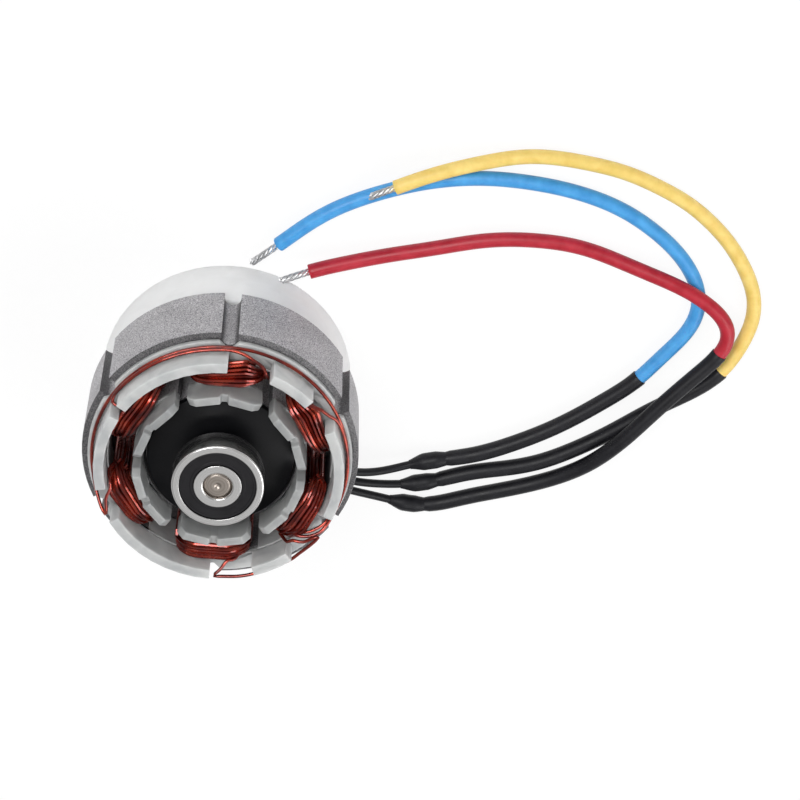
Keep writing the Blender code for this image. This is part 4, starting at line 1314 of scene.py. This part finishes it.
LEADS: tuple[PhaseLead, ...] = (
    PhaseLead(
        "blue", Slot.BLUE, 26.5 * MM, 82.0 * MM, 7.4 * MM,
        (
            (17.5, -12.5, 8.8), (21.5, -15, 8.9), (25.5, -17.5, 7.8), (30, -19.5, 5.6), (34, -20, 4.2),
            (38, -19.5, 3.1), (43, -18, 2.3), (49, -17, 2.1), (56, -15.5, 1.9), (63, -12.5, 1.9),
            (70, -9, 1.9), (77, -4.5, 1.9), (83.5, 0.5, 1.9), (89.5, 5.5, 1.9), (93, 10.5, 1.8),
            (96.5, 14.5, 1.7), (99.5, 19, 1.7), (100.5, 24, 1.7), (99.5, 29, 1.7), (95, 36, 1.7),
            (90, 40.5, 1.7), (83.5, 45, 1.7), (76.5, 48, 1.7), (69, 50, 1.7), (62, 51, 1.7),
            (54, 51.5, 1.7), (47, 51, 1.7), (41, 50, 1.7), (34, 48, 1.7), (27.5, 45.5, 1.7),
            (20.5, 42, 1.7), (14.5, 37.5, 1.7), (9.5, 33, 1.7), (4, 28.5, 1.7),
        ),
    ),
    PhaseLead(
        "red", Slot.RED, 26.0 * MM, 112.0 * MM, 6.6 * MM,
        (
            (15, -16, 10), (18.5, -18.5, 9.6), (24, -21.5, 8), (29.5, -24.5, 5.6), (33.5, -26, 4.2),
            (37.5, -27.5, 3.1), (42, -29, 2.3), (47, -29, 2.1), (52.5, -27, 1.9), (60, -25, 1.9),
            (68, -22.5, 2), (73.5, -20, 2.6), (78, -17, 3.7), (82, -13.5, 4.8), (86, -9, 5.6),
            (89.5, -5, 5.8), (92.5, -1, 5.8), (98.5, 6, 5.7), (104, 12.5, 5.5), (107, 16.5, 5.5),
            (107, 21, 5.5), (104, 24.5, 5.4), (100, 27.5, 5.3), (95.5, 30, 4.9), (90.5, 31.5, 4.1),
            (86, 33, 3.2), (81, 34.5, 2.4), (76.5, 36, 1.9), (71.5, 37, 1.7), (66, 37.5, 1.7),
            (58.5, 37.5, 1.7), (51, 36.5, 1.7), (43.5, 34.6, 1.8), (36.5, 33.2, 2), (29, 31.5, 2.4),
            (22, 29.8, 3.1), (16.3, 28.3, 3.7), (10.4, 26.1, 4.6),
        ),
    ),
    PhaseLead(
        "yellow", Slot.YELLOW, 26.5 * MM, 103.0 * MM, 6.1 * MM,
        (
            (16, -14.5, 10), (20, -17, 9.6), (25, -19.5, 8), (30, -22, 5.6), (34, -23, 4.2),
            (38, -23.5, 3.1), (43, -23.5, 2.3), (48, -22.5, 2.1), (53, -20.5, 1.9), (61, -19, 1.9),
            (69, -17, 1.9), (77, -13, 1.9), (85, -8, 1.9), (93, -2, 1.9), (101, 3, 1.9),
            (107.5, 8.5, 1.8), (110, 14, 1.7), (112, 18.5, 1.7), (112.5, 23, 1.7), (112, 27.5, 1.7),
            (110, 32, 1.7), (107, 37, 1.7), (104, 41, 1.7), (100, 44.5, 1.7), (96, 48, 1.7),
            (89, 51.5, 1.7), (82, 54.5, 1.7), (74.5, 56, 1.7), (67.5, 57, 1.7), (60, 57, 1.7),
            (55, 56, 2), (50, 55, 2.7), (45.5, 54, 3.5), (40.5, 52.5, 4.2), (34.5, 50, 4.7),
            (28, 46.9, 4.6),
        ),
    ),
)


def dress_hidden(nodes: dict[str, Piece]) -> None:
    """Gives the solids that stay their own finishes: rotor stack, magnets and caged balls."""
    finishes = {"rotor_core": LAMINATION_FINISH, "magnet": MAGNET_PLATE, "ball_cage": BALL_STEEL}
    for name, node in nodes.items():
        for word, finish in finishes.items():
            if word in name:
                paint(node, finish)


def main() -> None:
    """Builds the motor's looks in order and reports each piece."""
    logging.basicConfig(level=logging.INFO, format="%(name)s: %(message)s")
    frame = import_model()
    nodes = frame["nodes"]
    PhotoCamera().build()
    Studio().build()
    groups: list[tuple[str, Callable[[], Piece | list[Piece]]]] = []
    groups += [(f"{lead.colour} lead", lead.build) for lead in LEADS]
    groups.append(("stator", Stator(nodes).build))
    for index in range(TEETH):
        bulge, gap = COIL_BULGES.get(index + 1, (0.0, 0.0))
        coil = Coil(index + 1, math.radians(90 + 60 * index), bulge=bulge * MM, gap=gap * MM)
        groups.append((f"coil {index + 1}", coil.build))
    for index, stops in enumerate(CROSSOVER_STOPS):
        groups.append((f"link wire {index + 1}", Crossover(index + 1, stops).build))
    groups.append(("rotor", Rotor(nodes).build))
    front = Bearing("front_bearing", 40.8 * MM, Part.FRONT_RING)
    rear = Bearing("rear_bearing", 6.0 * MM, Part.REAR_RING)
    groups += [("front bearing", front.build), ("rear bearing", rear.build)]
    for name, build in groups:
        made = build()
        pieces = made if isinstance(made, list) else [made]
        faces = sum(len(piece.data.polygons) for piece in pieces)
        LOG.info("%s: %d pieces, %d faces", name, len(pieces), faces)
    dress_hidden(nodes)
    deselect()


if __name__ == "__main__":
    main()
